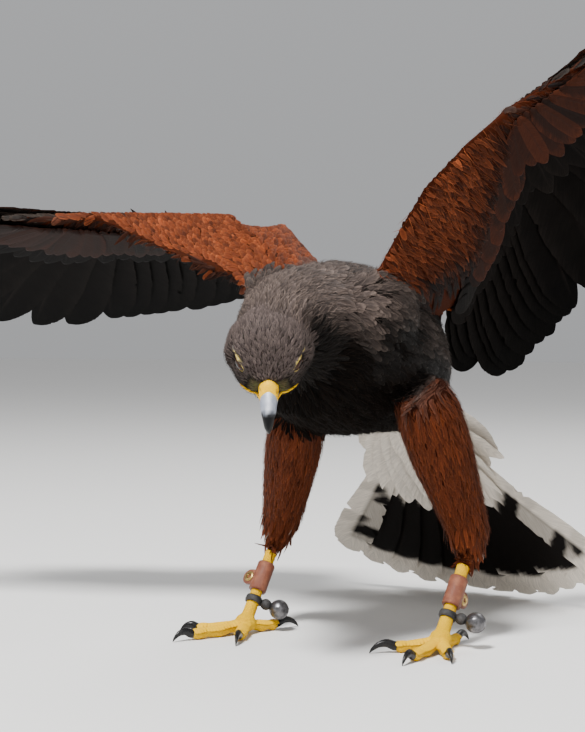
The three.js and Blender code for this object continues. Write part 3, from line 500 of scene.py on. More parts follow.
triangles = bpy.data.meshes.new("skin_triangles")
bm = bmesh.new()
bm.from_mesh(skin.data)
bmesh.ops.triangulate(bm, faces=bm.faces)
bm.to_mesh(triangles)
bm.free()
skin_corners = vertex_array(triangles) * 1000 - STANCE_SHIFT
skin_normals = vertex_array(triangles, "vertex_normals", "vector")
skin_faces = vertex_array(triangles, "polygons", "vertices", 3).astype(int)
skin_tree = BVHTree.FromPolygons([tuple(p) for p in skin_corners], [tuple(f) for f in skin_faces])
face_kinds = kinds[skin_faces[:, 0]]


# The coat's colours, linear: each is [the feather, its paler or darker fringe]
DARK = ((0.0024, 0.0017, 0.0013), (0.0085, 0.0056, 0.0040))
SLATE = ((0.051, 0.038, 0.033), (0.170, 0.126, 0.104))
CROWN = ((0.060, 0.045, 0.041), (0.145, 0.110, 0.096))
RUFOUS = ((0.105, 0.021, 0.0055), (0.185, 0.049, 0.015))
THIGH_RUFOUS = ((0.066, 0.0128, 0.003), (0.135, 0.033, 0.0085))
WHITE = ((0.70, 0.64, 0.56), (0.78, 0.74, 0.68))
BARE = ((0.25, 0.215, 0.10), (0.25, 0.215, 0.10))
SKIN_PAINTED_SHADE = 0.45


def wander(points, scale, seed):
    """A slow random swell over space, between -1 and 1, the same each time."""
    draw = np.random.default_rng(seed)
    value = np.zeros(len(points))
    for _ in range(6):
        way = unit(draw.normal(size=3)) * draw.uniform(0.7, 1.6) / scale
        value += np.sin(points @ way * 2 * math.pi + draw.uniform(0, 2 * math.pi))
    return value / 6


def head_axes(points):
    away = points - HEAD_MIDDLE
    return away @ head_forward, away @ head_out, away @ head_up


def mixed(base, other, share):
    return [b + (np.asarray(o) - b) * share[:, None] for b, o in zip(base, other)]


def bare_share(forward, out, rise):
    """How bare the face is between eye and bill."""
    return smooth_step(6.5, 9.5, forward - 0.25 * np.abs(out)) * smooth_step(2.5, -1.0, rise - 0.1 * forward)


def coat_colours(points, normals, kinds):
    """The colours of the coat and of its fringe at points of the stance, for skin and feathers alike."""
    pair = [np.tile(c, (len(points), 1)) for c in DARK]
    named = np.array(part_names)[kinds]
    # Upward faces are painted lighter, the rest near-black: partly the coat's colour, partly painted light and
    # shade
    lit_topside = smooth_step(-0.25, 0.55, normals[:, 2] + 0.25 * wander(points, 60, 3))
    front = smooth_step(-95, -60, points[:, 1])
    pair = mixed(pair, SLATE, lit_topside * (1 - 0.45 * front))
    forward, out, rise = head_axes(points)
    on_head = (named == "head") & (rise > -14)
    pair = mixed(pair, CROWN, on_head * smooth_step(-14, 2, rise) * 0.9)
    edge = 6 * wander(points, 34, 5)
    vent = smooth_step(96, 108, points[:, 1] + edge - 6 * np.clip(normals[:, 2], -1, 1))
    pair = mixed(pair, WHITE, vent * (named == "torso"))
    for name, g in legs.items():
        on_thigh = named == f"thigh_{name}"
        along = (g["knee"] - points) @ g["rise"]
        pair = mixed(pair, THIGH_RUFOUS, on_thigh * smooth_step(-30, -14, along + 1.6 * edge))
    for name, w in wings.items():
        on_wing = named == f"wing_{name}"
        root = (points - w["shoulder"]) @ w["span"]
        pair = mixed(pair, RUFOUS, on_wing * smooth_step(-12, 6, root + edge))
    return mixed(pair, BARE, on_head * bare_share(forward, out, rise))


def set_colour(mesh, name, colours):
    layer = mesh.color_attributes.new(name, "FLOAT_COLOR", "POINT")
    rgba = np.ones((len(mesh.vertices), 4), np.float32)
    rgba[:, :3] = colours
    layer.data.foreach_set("color", rgba.ravel())


# The skin is painted darker than the coat: painted shade in the gaps between the feathers
set_colour(skin.data, "Tint", coat_colours(stance_corners, normals, kinds)[0] * SKIN_PAINTED_SHADE)


class Wires:
    """Short ways to add nodes to one tree and join them."""

    def __init__(self, tree):
        self.nodes, self.links = tree.nodes, tree.links

    def node(self, kind, inputs=(), **settings):
        made = self.nodes.new(f"ShaderNode{kind}")
        for key, value in settings.items():
            setattr(made, key, value)
        for key, value in dict(inputs).items():
            self.feed(made.inputs[key], value)
        return made

    def feed(self, socket, value):
        if isinstance(value, bpy.types.NodeSocket):
            self.links.new(value, socket)
        else:
            socket.default_value = value

    def maths(self, operation, *values):
        made = self.node("Math", operation=operation)
        for socket, value in zip(made.inputs, values):
            self.feed(socket, value)
        return made.outputs[0]

    def mix(self, share, first, second, kind="MIX"):
        made = self.node("Mix", data_type="RGBA", blend_type=kind)
        for key, value in ((0, share), (6, first), (7, second)):
            self.feed(made.inputs[key], value)
        return made.outputs[2]

    def step(self, value, low, high, to_low=0.0, to_high=1.0):
        made = self.node("MapRange", interpolation_type="SMOOTHSTEP")
        for key, given in enumerate((value, low, high, to_low, to_high)):
            self.feed(made.inputs[key], given)
        return made.outputs[0]


class Surface(Wires):
    """A new material, given the constant settings of its shader."""

    def __init__(self, name, settings):
        self.material = bpy.data.materials.new(name)
        self.material.use_nodes = True
        super().__init__(self.material.node_tree)
        self.sockets = self.nodes["Principled BSDF"].inputs
        for key, value in settings.items():
            self.sockets[key].default_value = value

    @functools.cached_property
    def place(self):
        return self.node("TexCoord").outputs["Object"]

    def attribute(self, name):
        return self.node("Attribute", attribute_name=name).outputs["Color"]

    def noise(self, scale, detail, roughness=0.5):
        inputs = {"Vector": self.place, "Scale": scale, "Detail": detail, "Roughness": roughness}
        return self.node("TexNoise", inputs).outputs["Fac"]

    def cells(self, scale):
        inputs = {"Vector": self.place, "Scale": scale}
        return self.node("TexVoronoi", inputs, feature="DISTANCE_TO_EDGE").outputs["Distance"]

    def coloured(self, value):
        self.feed(self.sockets["Base Color"], value)

    def relief(self, strength, depth, height):
        bump = self.node("Bump", {"Strength": strength, "Distance": depth, "Height": height})
        self.feed(self.sockets["Normal"], bump.outputs["Normal"])


def skin_material():
    s = Surface("skin", {"Roughness": 0.7, "Specular IOR Level": 0.04})
    inputs = {"Vector": s.place, "Scale": 420.0, "Detail": 4.0}
    noise = s.node("TexNoise", inputs).outputs
    s.coloured(s.mix(0.55, s.attribute("Tint"), noise["Color"], "MULTIPLY"))
    s.relief(0.5, 0.0006, noise["Fac"])
    return s.material


# The skin's own unwrap, cut into islands by its shape, which also places each feather's patch
UNWRAP_ANGLE = math.radians(62)
skin.data.materials.append(skin_material())
skin.data.shade_smooth()
triangles_piece = bpy.data.objects.new("skin_triangles", triangles)
bpy.context.scene.collection.objects.link(triangles_piece)
bpy.context.view_layer.objects.active = triangles_piece
triangles_piece.select_set(True)
bpy.ops.object.mode_set(mode="EDIT")
bpy.ops.mesh.select_all(action="SELECT")
bpy.ops.uv.smart_project(angle_limit=UNWRAP_ANGLE, island_margin=0.001)
bpy.ops.object.mode_set(mode="OBJECT")
unwrap = np.empty(len(triangles.loops) * 2)
triangles.uv_layers.active.data.foreach_get("uv", unwrap)
face_patch = unwrap.reshape(-1, 3, 2).mean(1)
bpy.data.objects.remove(triangles_piece)
for node in ("torso", "neck", "head", "leg_left_thigh", "leg_right_thigh"):
    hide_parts(node)
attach(skin, "root")


# ---- Small feathers of the trunk, neck, head and thighs
# Thousands of short vanes lie over the skin like tiles, each rooted in it, bent along it and cupped over
# the next. They are smallest on the face, longest on the back, and fine and loose on belly and thighs.
PATCH = 0.003
# Where the zones of the coat meet: along the neck, along the trunk, and forward on the head
NECK_FEATHERS_END, VENT_BEGINS = -118, 92
FACE_BEGINS, FACE_ENDS = -4, 15.2
VANE_ROWS = np.array([0, 0.16, 0.4, 0.64, 0.82, 0.94, 1.0])
# Share of the half width at each row: rounded, pointed and loose feathers
ROUND_TIP = np.array([0.35, 0.75, 1.0, 1.0, 0.84, 0.55, 0.14])
POINTED_TIP = np.array([0.4, 0.85, 1.0, 0.86, 0.58, 0.3, 0.06])
# [spacing, length, half width, rise of the tip, depth of the root, tip]
PLUMAGE = {
    "face": (1.6, 4.6, 0.9, 0.55, 0.35, POINTED_TIP),
    "crown": (2.15, 8.5, 1.4, 0.7, 0.5, POINTED_TIP),
    "nape": (3.5, 15, 2.2, 1.4, 0.8, POINTED_TIP),
    "mantle": (4.9, 23, 3.7, 1.8, 1.2, ROUND_TIP),
    "breast": (4.4, 23, 2.7, 2.2, 1.2, POINTED_TIP),
    "vent": (5.4, 34, 5.0, 3.4, 1.2, ROUND_TIP),
    "thigh": (3.2, 20, 1.4, 1.5, 0.9, POINTED_TIP),
}


def scatter(spacing, seed):
    """Points spread over the skin's faces, no nearer to one another than the local spacing."""
    draw = np.random.default_rng(seed)
    a, b, c = (skin_corners[skin_faces[:, k]] for k in range(3))
    area = np.linalg.norm(np.cross(b - a, c - a), axis=1) / 2
    weight = np.where(spacing > 0, area / np.maximum(spacing, 0.1) ** 2, 0)
    tries = int(weight.sum() * 5.5)
    picked = draw.choice(len(area), tries, p=weight / weight.sum())
    r, s = np.sqrt(draw.random(tries)), draw.random(tries)
    at = a[picked] * (1 - r)[:, None] + b[picked] * (r * (1 - s))[:, None] + c[picked] * (r * s)[:, None]
    cell = float(spacing.max())
    held, kept = {}, []
    keys = np.floor(at / cell).astype(int)
    for i, (x, y, z) in enumerate(keys.tolist()):
        p, room = at[i], (0.86 * spacing[picked[i]]) ** 2
        near = (q for dx in (-1, 0, 1) for dy in (-1, 0, 1) for dz in (-1, 0, 1)
                for q in held.get((x + dx, y + dy, z + dz), ()))
        if all((p[0] - q[0]) ** 2 + (p[1] - q[1]) ** 2 + (p[2] - q[2]) ** 2 > room for q in near):
            held.setdefault((x, y, z), []).append(p)
            kept.append(i)
    return at[kept], picked[kept]


def on_skin(points):
    """The nearest points of the skin, its normals and faces there."""
    found = [skin_tree.find_nearest(p) for p in points.tolist()]
    faces = np.array([f[2] for f in found])
    smooth = skin_normals[skin_faces[faces]].mean(1)
    return np.array([f[0] for f in found]), unit(smooth), faces


def laid(roots, lie, lengths, rise, root_depth, rows, draw, stray=0.1):
    """Spines that follow the lie of the coat over the skin, rising from it towards their tips."""
    at, normal, faces = on_skin(roots)
    first = normal
    kinds_here = face_kinds[faces]
    spin = draw.normal(scale=stray, size=len(roots))[:, None]
    rise = rise * draw.uniform(0.6, 1.45, len(roots))
    spines, ups, sides = [], [], []
    before = 0
    for u in rows:
        way = lie(at, normal, kinds_here)
        way = way - normal * (way * normal).sum(1, keepdims=True)
        way = unit(way)
        way = unit(way + spin * np.cross(normal, way))
        at = at + way * (lengths * (u - before))[:, None]
        if u > 0:
            near, normal_here, _ = on_skin(at)
            held = ((normal_here * first).sum(1) > 0.1)[:, None]
            at = np.where(held, near, at)
            normal = unit(np.where(held, normal + normal_here, normal))
        before = u
        height = -root_depth * (1 - u) ** 2 + rise * u**0.8
        spines.append(at + normal * height[:, None])
        ups.append(normal)
        sides.append(np.cross(way, normal))
    return np.stack(spines, 1), np.stack(sides, 1), np.stack(ups, 1), faces


def ring_across(ribs):
    """Where the points of a vane's ring lie from edge (-1) to edge (1), over its upper face and back below."""
    inner = np.linspace(-1, 1, ribs + 2)[1:-1]
    return np.concatenate([[-1], inner, [1], inner[::-1]])


def vanes(name, spines, sides, ups, lead, trail, shares, faces, tint, fringe, rows, material,
          ribs=1, thick=0.35, cup=0.12, ragged=0.12, seed=1, level=0.0):
    """One mesh of many thin closed feathers. Each has rings of points along its spine: edge, upper face,
    edge, lower face. shares are the widths before and behind the shaft at each row, in halves."""
    n, k = spines.shape[:2]
    draw = np.random.default_rng(seed)
    across = ring_across(ribs)
    lift = np.concatenate([[0], np.ones(ribs), [0], -np.ones(ribs)])
    around = len(across)
    shares = np.asarray(shares, float)
    if shares.ndim == 1:
        shares = np.stack([shares, shares], 1)
    width = np.stack([np.broadcast_to(lead, n), np.broadcast_to(trail, n)], 1)[:, None, :] * shares[None]
    width = width * (1 + ragged * draw.normal(size=width.shape) * (rows[None, :, None] > 0.3))
    half = np.where(across[None, None] < 0, width[..., :1], width[..., 1:])
    flat = half * across
    dome = -cup * half * across**2
    solid_half = thick / 2 * (1 - 0.6 * rows)[None, :, None] * lift * (1 - 0.35 * np.abs(across))
    points = (spines[:, :, None] + sides[:, :, None] * flat[..., None]
              + ups[:, :, None] * (dome + solid_half)[..., None])
    points = points.reshape(-1, 3)
    if level is not None:
        points[:, 2] = np.maximum(points[:, 2], level)
    ring = np.arange(around)
    after = (ring + 1) % around
    quad = np.stack([ring, after, around + after, around + ring], 1)
    quads = np.concatenate([quad + r * around for r in range(k - 1)])
    strips = np.concatenate([quads[:, [0, 2, 1]], quads[:, [0, 3, 2]]])
    caps = [[0, 1, around - 1]] + [[j, j + 1, around - j] for j in range(1, around // 2)]
    caps += [[j + 1, around - j - 1, around - j] for j in range(1, around // 2) if around - j - 1 > j + 1]
    caps = np.array(caps)
    last = (k - 1) * around
    template = np.concatenate([strips, caps, caps[:, ::-1] + last])
    first, second, third = (points[template[:, c]] for c in range(3))
    if (first * np.cross(second, third)).sum() < 0:
        template = template[:, ::-1]
    triangles = (template[None] + (np.arange(n) * k * around)[:, None, None]).reshape(-1, 3)
    mesh = bpy.data.meshes.new(name)
    mesh.vertices.add(len(points))
    mesh.vertices.foreach_set("co", row(points).ravel())
    mesh.loops.add(triangles.size)
    mesh.loops.foreach_set("vertex_index", triangles.ravel())
    mesh.polygons.add(len(triangles))
    mesh.polygons.foreach_set("loop_start", np.arange(0, triangles.size, 3))
    mesh.update(calc_edges=True)
    rim = np.tile(np.abs(across) == 1, n * k)
    ends = vertex_array(mesh, "edges", "vertices", 2).astype(int)
    sharp = mesh.attributes.new("sharp_edge", "BOOLEAN", "EDGE")
    sharp.data.foreach_set("value", rim[ends[:, 0]] & rim[ends[:, 1]])
    vane = np.stack(np.broadcast_arrays(rows[None, :, None], across[None, None] / 2 + 0.5), -1)
    vane = np.broadcast_to(vane, (n, k, around, 2)).reshape(-1, 2)
    used = triangles.ravel()
    mesh.uv_layers.new(name="Vane").data.foreach_set("uv", vane[used].ravel())
    patch = np.repeat(face_patch[faces], k * around, 0) + PATCH * (vane - 0.5)
    mesh.uv_layers.new(name="OFBake").data.foreach_set("uv", patch[used].ravel())
    each = k * around
    for key, colours in (("Tint", tint), ("Fringe", fringe)):
        set_colour(mesh, key, np.repeat(colours, each, 0) if colours.ndim == 2 else colours.reshape(-1, 3))
    set_colour(mesh, "Own", np.repeat(draw.random(n), each)[:, None])
    piece = new_object(name, mesh, material)
    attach(piece, "root")
    return piece


def new_group(name, inputs, outputs):
    """A shader node group with its sockets: [name, kind, value] for each input."""
    group = bpy.data.node_groups.new(name, "ShaderNodeTree")
    for socket, kind, value in inputs:
        made = group.interface.new_socket(socket, in_out="INPUT", socket_type=f"NodeSocket{kind}")
        made.default_value = value
    for socket, kind in outputs:
        group.interface.new_socket(socket, in_out="OUTPUT", socket_type=f"NodeSocket{kind}")
    return group, group.nodes.new("NodeGroupInput"), group.nodes.new("NodeGroupOutput")


# Along the vane: a fringe at its rim and tip, a shaft, barbs that slant outwards, and each one's own shade
barbs, barbs_in, barbs_out = new_group(
    "feather_marks",
    [("Tint", "Color", (0.1, 0.1, 0.1, 1)), ("Fringe", "Color", (0.2, 0.2, 0.2, 1)),
     ("Fringe Amount", "Float", 0.6), ("Shaft", "Float", 0.4), ("Barbs", "Float", 60.0),
     ("Variation", "Float", 0.35)],
    [("Color", "Color"), ("Height", "Float")],
)
w = Wires(barbs)
vane_map = w.node("SeparateXYZ", {0: w.node("UVMap", uv_map="Vane").outputs[0]})
far, wide = vane_map.outputs[0], vane_map.outputs[1]
own = w.node("SeparateColor", {0: w.node("Attribute", attribute_name="Own").outputs["Color"]}).outputs[0]
given = barbs_in.outputs
off_shaft = w.maths("MULTIPLY", w.maths("ABSOLUTE", w.maths("SUBTRACT", wide, 0.5)), 2.0)
slant = w.maths("SUBTRACT", far, w.maths("MULTIPLY", off_shaft, 0.16))
ripple = w.node("CombineXYZ", {0: w.maths("MULTIPLY", slant, given["Barbs"]),
                               1: w.maths("MULTIPLY", off_shaft, 1.6), 2: w.maths("MULTIPLY", own, 40.0)})
strand = w.node("TexNoise", {"Vector": ripple.outputs[0], "Scale": 1.0, "Detail": 2.0, "Roughness": 0.6})
strand = strand.outputs["Fac"]
rim = w.maths("MAXIMUM", w.step(off_shaft, 0.45, 1.0), w.step(far, 0.72, 1.0))
rim = w.maths("MULTIPLY", rim, w.step(strand, 0.3, 0.7, 0.35, 1.0))
rim = w.maths("MULTIPLY", rim, given["Fringe Amount"])
colour = w.mix(rim, given["Tint"], given["Fringe"])
shade = w.maths("ADD", w.maths("MULTIPLY", w.maths("SUBTRACT", own, 0.5), given["Variation"]), 1.0)
shade = w.maths("MULTIPLY", shade, w.step(strand, 0.2, 0.8, 0.78, 1.2))
shade_colour = w.node("CombineColor", {0: shade, 1: shade, 2: shade}).outputs[0]
colour = w.mix(1.0, colour, shade_colour, "MULTIPLY")
shaft_line = w.maths("MULTIPLY", w.step(off_shaft, 0.0, 0.14, 1.0, 0.0), w.step(far, 0.75, 1.0, 1.0, 0.0))
shaft_line = w.maths("MULTIPLY", shaft_line, given["Shaft"])
colour = w.mix(shaft_line, colour, w.mix(0.55, colour, (0.012, 0.009, 0.008, 1)))
w.feed(barbs_out.inputs["Color"], colour)
w.feed(barbs_out.inputs["Height"], w.maths("ADD", w.maths("MULTIPLY", strand, 0.6), shaft_line))


def feather_material(name, fringe, shaft, barb_count, variation=0.35, roughness=0.58, sheen=0.02, bump=0.0004,
                     specular=0.07):
    s = Surface(name, {"Roughness": roughness, "Specular IOR Level": specular, "Sheen Weight": sheen,
                       "Sheen Roughness": 0.45, "Sheen Tint": (1.0, 0.94, 0.88, 1)})
    inputs = {"Fringe Amount": fringe, "Shaft": shaft, "Barbs": barb_count, "Variation": variation,
              "Tint": s.attribute("Tint"), "Fringe": s.attribute("Fringe")}
    marks = s.node("Group", inputs, node_tree=barbs).outputs
    s.coloured(marks["Color"])
    s.relief(0.55, bump, marks["Height"])
    return s.material


def trunk_lie(at, normal, kinds_here):
    """The way that feathers point: back from the bill over the head, along neck and trunk, down each thigh."""
    way = np.tile([0.0, 1.0, -0.12], (len(at), 1))
    way[:, 2] -= 0.35 * smooth_step(-0.2, 0.8, np.abs(normal[:, 0])) + 0.25 * smooth_step(40, 120, at[:, 1])
    from_bill = unit(at - in_head(17, 0, -4))
    neck_way = unit(NECK_FOOT - NECK_TOP)
    past = (at - HEAD_MIDDLE) @ -head_forward
    share = smooth_step(26, 60, past)[:, None]
    near_head = smooth_step(95, 55, np.linalg.norm(at - HEAD_MIDDLE, axis=1))[:, None]
    head_way = unit(from_bill - 0.25 * head_forward)
    toward = blend(head_way, np.tile(neck_way, (len(at), 1)), share)
    way = way * (1 - near_head) + toward * near_head
    for name, g in legs.items():
        on_thigh = kinds_here == part_names.index(f"thigh_{name}")
        way[on_thigh] = -g["rise"] + 0.18 * g["behind"]
        below = (at - g["hock"]) @ -g["rise"] > 2
        way[on_thigh & below] = g["down"] + 0.25 * g["shank_back"]
    return way


face_middle = skin_corners[skin_faces].mean(1)
face_normal = unit(skin_normals[skin_faces].mean(1))
kind_name = np.array(part_names)[face_kinds]
forward, out, rise = head_axes(face_middle)
on_trunk, on_neck, on_head = (kind_name == kind for kind in ("torso", "neck", "head"))
face_up = face_normal[:, 2]
low_neck = on_neck & (face_middle[:, 1] > NECK_FEATHERS_END)
bare_lore = on_head & (bare_share(forward, out, rise) > 0.12)
# Each zone of the coat overrules those before it
coat_zone = np.full(len(face_middle), "none", dtype="<U8")
for zone, where in (
    ("mantle", on_trunk),
    ("breast", on_trunk & (face_up + 0.5 * np.abs(face_normal[:, 0]) < 0.15)),
    ("vent", on_trunk & (face_middle[:, 1] > VENT_BEGINS) & (face_up < 0.35)),
    ("nape", on_neck), ("mantle", low_neck), ("breast", low_neck & (face_up < 0)),
    ("crown", on_head), ("face", on_head & (forward > FACE_BEGINS)),
    ("thigh", np.char.startswith(kind_name, "thigh")),
    ("none", bare_lore), ("none", on_head & (forward > FACE_ENDS)),
):
    coat_zone[where] = zone
for side in (1, -1):
    away = face_middle - in_head(EYE["forward"], side * EYE["out"], EYE["up"])
    far = np.linalg.norm(away, axis=1)
    coat_zone[(far < EYE["radius"] + 1.5) & (away @ eye_look(side) > 0.42 * far)] = "none"

COATS = {
    "head_feathers": (("face", "crown"), feather_material("head_coat", 0.5, 0.25, 14, 0.5)),
    "neck_feathers": (("nape",), feather_material("neck_coat", 0.55, 0.35, 22, 0.5)),
    "back_feathers": (("mantle",), feather_material("back_coat", 0.62, 0.5, 34, 0.4)),
    "belly_feathers": (("breast",),
                       feather_material("belly_coat", 0.3, 0.3, 30, 0.5, sheen=0.004, specular=0.02)),
    "vent_feathers": (("vent",), feather_material("vent_coat", 0.3, 0.12, 34, 0.1, roughness=0.8)),
    "thigh_feathers": (("thigh",), feather_material("thigh_coat", 0.7, 0.25, 26, 0.55)),
}
# Loose barbs: [spacing, length, half width, rise of the tip]
WISP_ROWS = np.array([0, 0.5, 1.0])
WISP_TIP = np.array([0.8, 0.9, 0.12])
WISP_LIFT = 0.9
WISPS = {
    "head_feathers": (1.7, 3.6, 0.13, 0.6),
    "neck_feathers": (2.1, 8, 0.2, 1.6),
    "back_feathers": (2.85, 10, 0.24, 2.0),
    "belly_feathers": (2.7, 12, 0.24, 2.6),
    "vent_feathers": (3.2, 16, 0.26, 3.4),
    "thigh_feathers": (2.5, 8.5, 0.2, 1.8),
}
for number, (name, (zones, material)) in enumerate(COATS.items()):
    draw = np.random.default_rng(100 + number)
    spacing = np.zeros(len(coat_zone))
    for zone in zones:
        spacing[coat_zone == zone] = PLUMAGE[zone][0]
    roots, faces = scatter(spacing, 200 + number)
    zone_of = coat_zone[faces]
    settings = np.array([PLUMAGE[z][1:5] for z in zone_of.tolist()])
    grown = draw.uniform(0.85, 1.2, len(roots))
    if "face" in zones:
        # On the head, length, half width and rise grow from the bill to the nape
        back_share = smooth_step(10, -30, head_axes(roots)[0])
        for column, (first, more) in enumerate(((3.8, 6.4), (0.85, 0.75), (0.45, 0.5))):
            settings[:, column] = first + more * back_share
    spines, sides, ups, faces = laid(roots, trunk_lie, settings[:, 0] * grown, settings[:, 2],
                                     settings[:, 3].mean(), VANE_ROWS, draw)
    tint, fringe = coat_colours(roots, unit(ups[:, 0]), face_kinds[faces])
    shades = np.clip(draw.normal(1, 0.16, len(roots)), 0.6, 1.5)[:, None]
    half = settings[:, 1] * grown
    tip = PLUMAGE[zones[0]][5]
    piece = vanes(name, spines, sides, ups, half, half, tip, faces, tint * shades, fringe * shades, VANE_ROWS,
                  material, ribs=1 if zones[0] in ("face", "thigh") else 3, thick=0.3, cup=0.25, ragged=0.16,
                  seed=300 + number)

    # Loose barbs that soften the edges between the feathers
    far, size, wide, lift = WISPS[name]
    roots, faces = scatter(np.where(spacing > 0, far, 0.0), 400 + number)
    grown = draw.uniform(0.7, 1.3, len(roots))
    spines, sides, ups, faces = laid(roots, trunk_lie, size * grown, lift, 0.1, WISP_ROWS, draw, stray=0.32)
    spines += ups * WISP_LIFT
    tint, fringe = coat_colours(roots, unit(ups[:, 0]), face_kinds[faces])
    share = draw.uniform(0, 1, (len(roots), 1)) ** 1.5
    colour = (tint * (1 - share) + fringe * share) * draw.uniform(0.7, 1.25, (len(roots), 1))
    piece = vanes(name.replace("feathers", "barbs"), spines, sides, ups, wide, wide, WISP_TIP, faces, colour,
                  colour, WISP_ROWS, material, ribs=1, thick=0.16, cup=0, ragged=0.05, seed=500 + number)



# ---- Flight feathers and coverts of the wings
# Ten primaries on each hand, nine broad secondaries on each forearm and three tertials on the left wing,
# each a stiff vane tipped a little under its inner neighbour. Rows of coverts hide their roots above and below.
TIP_UNDER = math.radians(4.5)
PRIMARIES = (214, 224, 232, 240, 250, 260, 268, 262, 240, 196)
FINGERS = 5
SECONDARY_COUNT = 9
SECONDARY_LENGTHS = (130, 197)
TERTIAL_LENGTH, TERTIAL_STEP = 104, 8
# [half width before the shaft, half width behind it, how far the tip bows down]
FLIGHT_FORMS = {"tertial": (20, 24, 8), "secondary": (13, 27, 10), "primary": (9, 25, 12),
                "finger": (7.5, 22, 12)}
INNER_PRIMARIES = 3
INNER_WIDER = 8
VANE_THICK = 0.5
FLIGHT_RIBS = 7
# [share of the length, share of the width before the shaft, share behind it]
FLIGHT_OUTLINE = ((0, 0.2, 0.12), (0.12, 0.7, 0.6), (0.25, 0.9, 0.86), (0.6, 1, 1), (0.82, 0.88, 0.88),
                  (1, 0.68, 0.72))
FINGER_OUTLINE = ((0, 0.25, 0.12), (0.2, 0.85, 0.8), (0.45, 0.98, 0.93), (0.55, 0.9, 0.86), (0.68, 0.7, 0.56),
                  (0.92, 0.66, 0.44), (1, 0.6, 0.4))
FLIGHT_ROWS = np.concatenate([np.linspace(0, 0.86, 44), np.linspace(0.86, 1, 15)[1:]])
COVERT_ROWS = np.array([0, 0.15, 0.35, 0.55, 0.72, 0.84, 0.92, 0.97, 1.0])
# Rows of coverts: [name, how many, share of the flight's length, lift, set back, half before, half behind,
# longest]
COVERT_TIERS = (
    ("greater_upper", 24, 0.37, 3.6, 1, 9, 14, 92), ("median_upper", 30, 0.24, 7.6, 4, 8, 10, 46),
    ("greater_under", 24, 0.36, -5.6, 1, 9, 15, 86), ("median_under", 28, 0.25, -8.2, 4, 8, 11, 58),
)
# Flight undersides are painted darker than their tops: partly their own dark grey, partly painted shade
FLIGHT_TOP = np.array([0.0046, 0.0034, 0.0028])
FLIGHT_BELOW_PAINTED_SHADE = np.array([0.0022, 0.0017, 0.0014])
COVERT_DARK = (np.array([0.012, 0.0095, 0.008]), np.array([0.045, 0.032, 0.024]))
UNDER_GREY = (np.array([0.0034, 0.0025, 0.0020]), np.array([0.0105, 0.0075, 0.006]))
LINING = (np.array([0.065, 0.0145, 0.0045]), np.array([0.135, 0.037, 0.012]))
# The coats over the flesh of the wing. Pairs are the value in front and what is added towards the rear. Above
# they are neat and round like scales; below, the lining is long, narrow and loose
WING_COATS = {
    "lesser": dict(spacing=(3.0, 1.2), length=(9.5, 12), spread=(0.88, 1.15), half=(2.0, 2.4), tip=ROUND_TIP,
                   rise=1.2, stray=0.13),
    "lining": dict(spacing=(3.5, 0.9), length=(17, 13), spread=(0.75, 1.25), half=(1.5, 1.2), tip=POINTED_TIP,
                   rise=2.2, stray=0.24),
}
# Loose barbs over each coat: [spacing, length, half width, rise of the tip]
WING_BARBS = {"lesser": (2.8, 5, 0.16, 0.8), "lining": (3.2, 12, 0.24, 2.0)}


def outline_shares(outline, rows, rounding):
    """The widths before and behind the shaft at each row: the outline, with its tip rounded off."""
    table = np.array(outline)
    end = np.sqrt(np.clip(1 - ((rows - rounding) / (1 - rounding)).clip(0) ** 2.3, 0, 1)).clip(0.06)
    return np.stack([np.interp(rows, table[:, 0], table[:, k]) * end for k in (1, 2)], 1)


def flight_plan(w):
    """Root, direction, upper face, length, widths and kind of each flight feather, from the innermost out."""
    plan = []
    for i in range(w["inner"], 0, -1):
        along = turned(w["tertial"], w["secondary"], -0.1 * i)
        plan.append(dict(kind="tertial", root=w["elbow"] - 13 * i * w["ulna"] + 4 * w["tertial"], along=along,
                         up=w["up_over"](w["tertial"]), length=TERTIAL_LENGTH - TERTIAL_STEP * i))
    low, high = SECONDARY_LENGTHS
    for i in range(SECONDARY_COUNT):
        share = (i + 0.5) / SECONDARY_COUNT
        along = turned(w["tertial"], w["secondary"], share)
        plan.append(dict(kind="secondary", root=w["elbow"] + share * (w["wrist"] - w["elbow"]) + 4 * along,
                         along=along, up=w["up_over"](along), length=low + (high - low) * math.sqrt(share)))
    for i, length in enumerate(PRIMARIES):
        share = (i + 0.5) / len(PRIMARIES)
        along = turned(w["secondary"], w["hand"], 0.04 + 0.9 * share)
        kind = "finger" if i >= len(PRIMARIES) - FINGERS else "primary"
        plan.append(dict(kind=kind, root=w["wrist"] + share * (w["hand_end"] - w["wrist"]) + 3 * along,
                         along=along, up=w["hand_up"], length=length))
    for f in plan:
        f["lead"], f["trail"], f["sag"] = FLIGHT_FORMS[f["kind"]]
        inward = unit(w["side"] * np.cross(f["up"], f["along"]))
        f["side"] = inward * math.cos(TIP_UNDER) - f["up"] * math.sin(TIP_UNDER)
        f["face"] = f["up"] * math.cos(TIP_UNDER) + inward * math.sin(TIP_UNDER)
    for i in range(INNER_PRIMARIES):
        plan[i - len(PRIMARIES)]["trail"] += INNER_WIDER * (1 - i / INNER_PRIMARIES)
    return plan


def straight(roots, along, face, side, lengths, sag, sweep, rows):
    """Spines that bow down and inwards towards their tips."""
    u = rows[None, :, None]
    sag, sweep = (np.reshape(bend, (-1, 1, 1)) for bend in (sag, sweep))
    spine = (roots[:, None] + along[:, None] * lengths[:, None, None] * u
             - face[:, None] * sag * u**2 + side[:, None] * sweep * u**2)
    return spine, np.repeat(side[:, None], len(rows), 1), np.repeat(face[:, None], len(rows), 1)


def nearest_faces(points):
    return np.array([skin_tree.find_nearest(p)[2] for p in points.tolist()])


def above_and_below(top, below):
    """A colour for every point of each flight feather: one above, one below and their mean on the rim."""
    share = np.concatenate([[0.5], np.zeros(FLIGHT_RIBS), [0.5], np.ones(FLIGHT_RIBS)])[:, None]
    colour = top[:, None, None] * (1 - share) + below[:, None, None] * share
    return np.broadcast_to(colour, (len(top), len(FLIGHT_ROWS), len(share), 3))


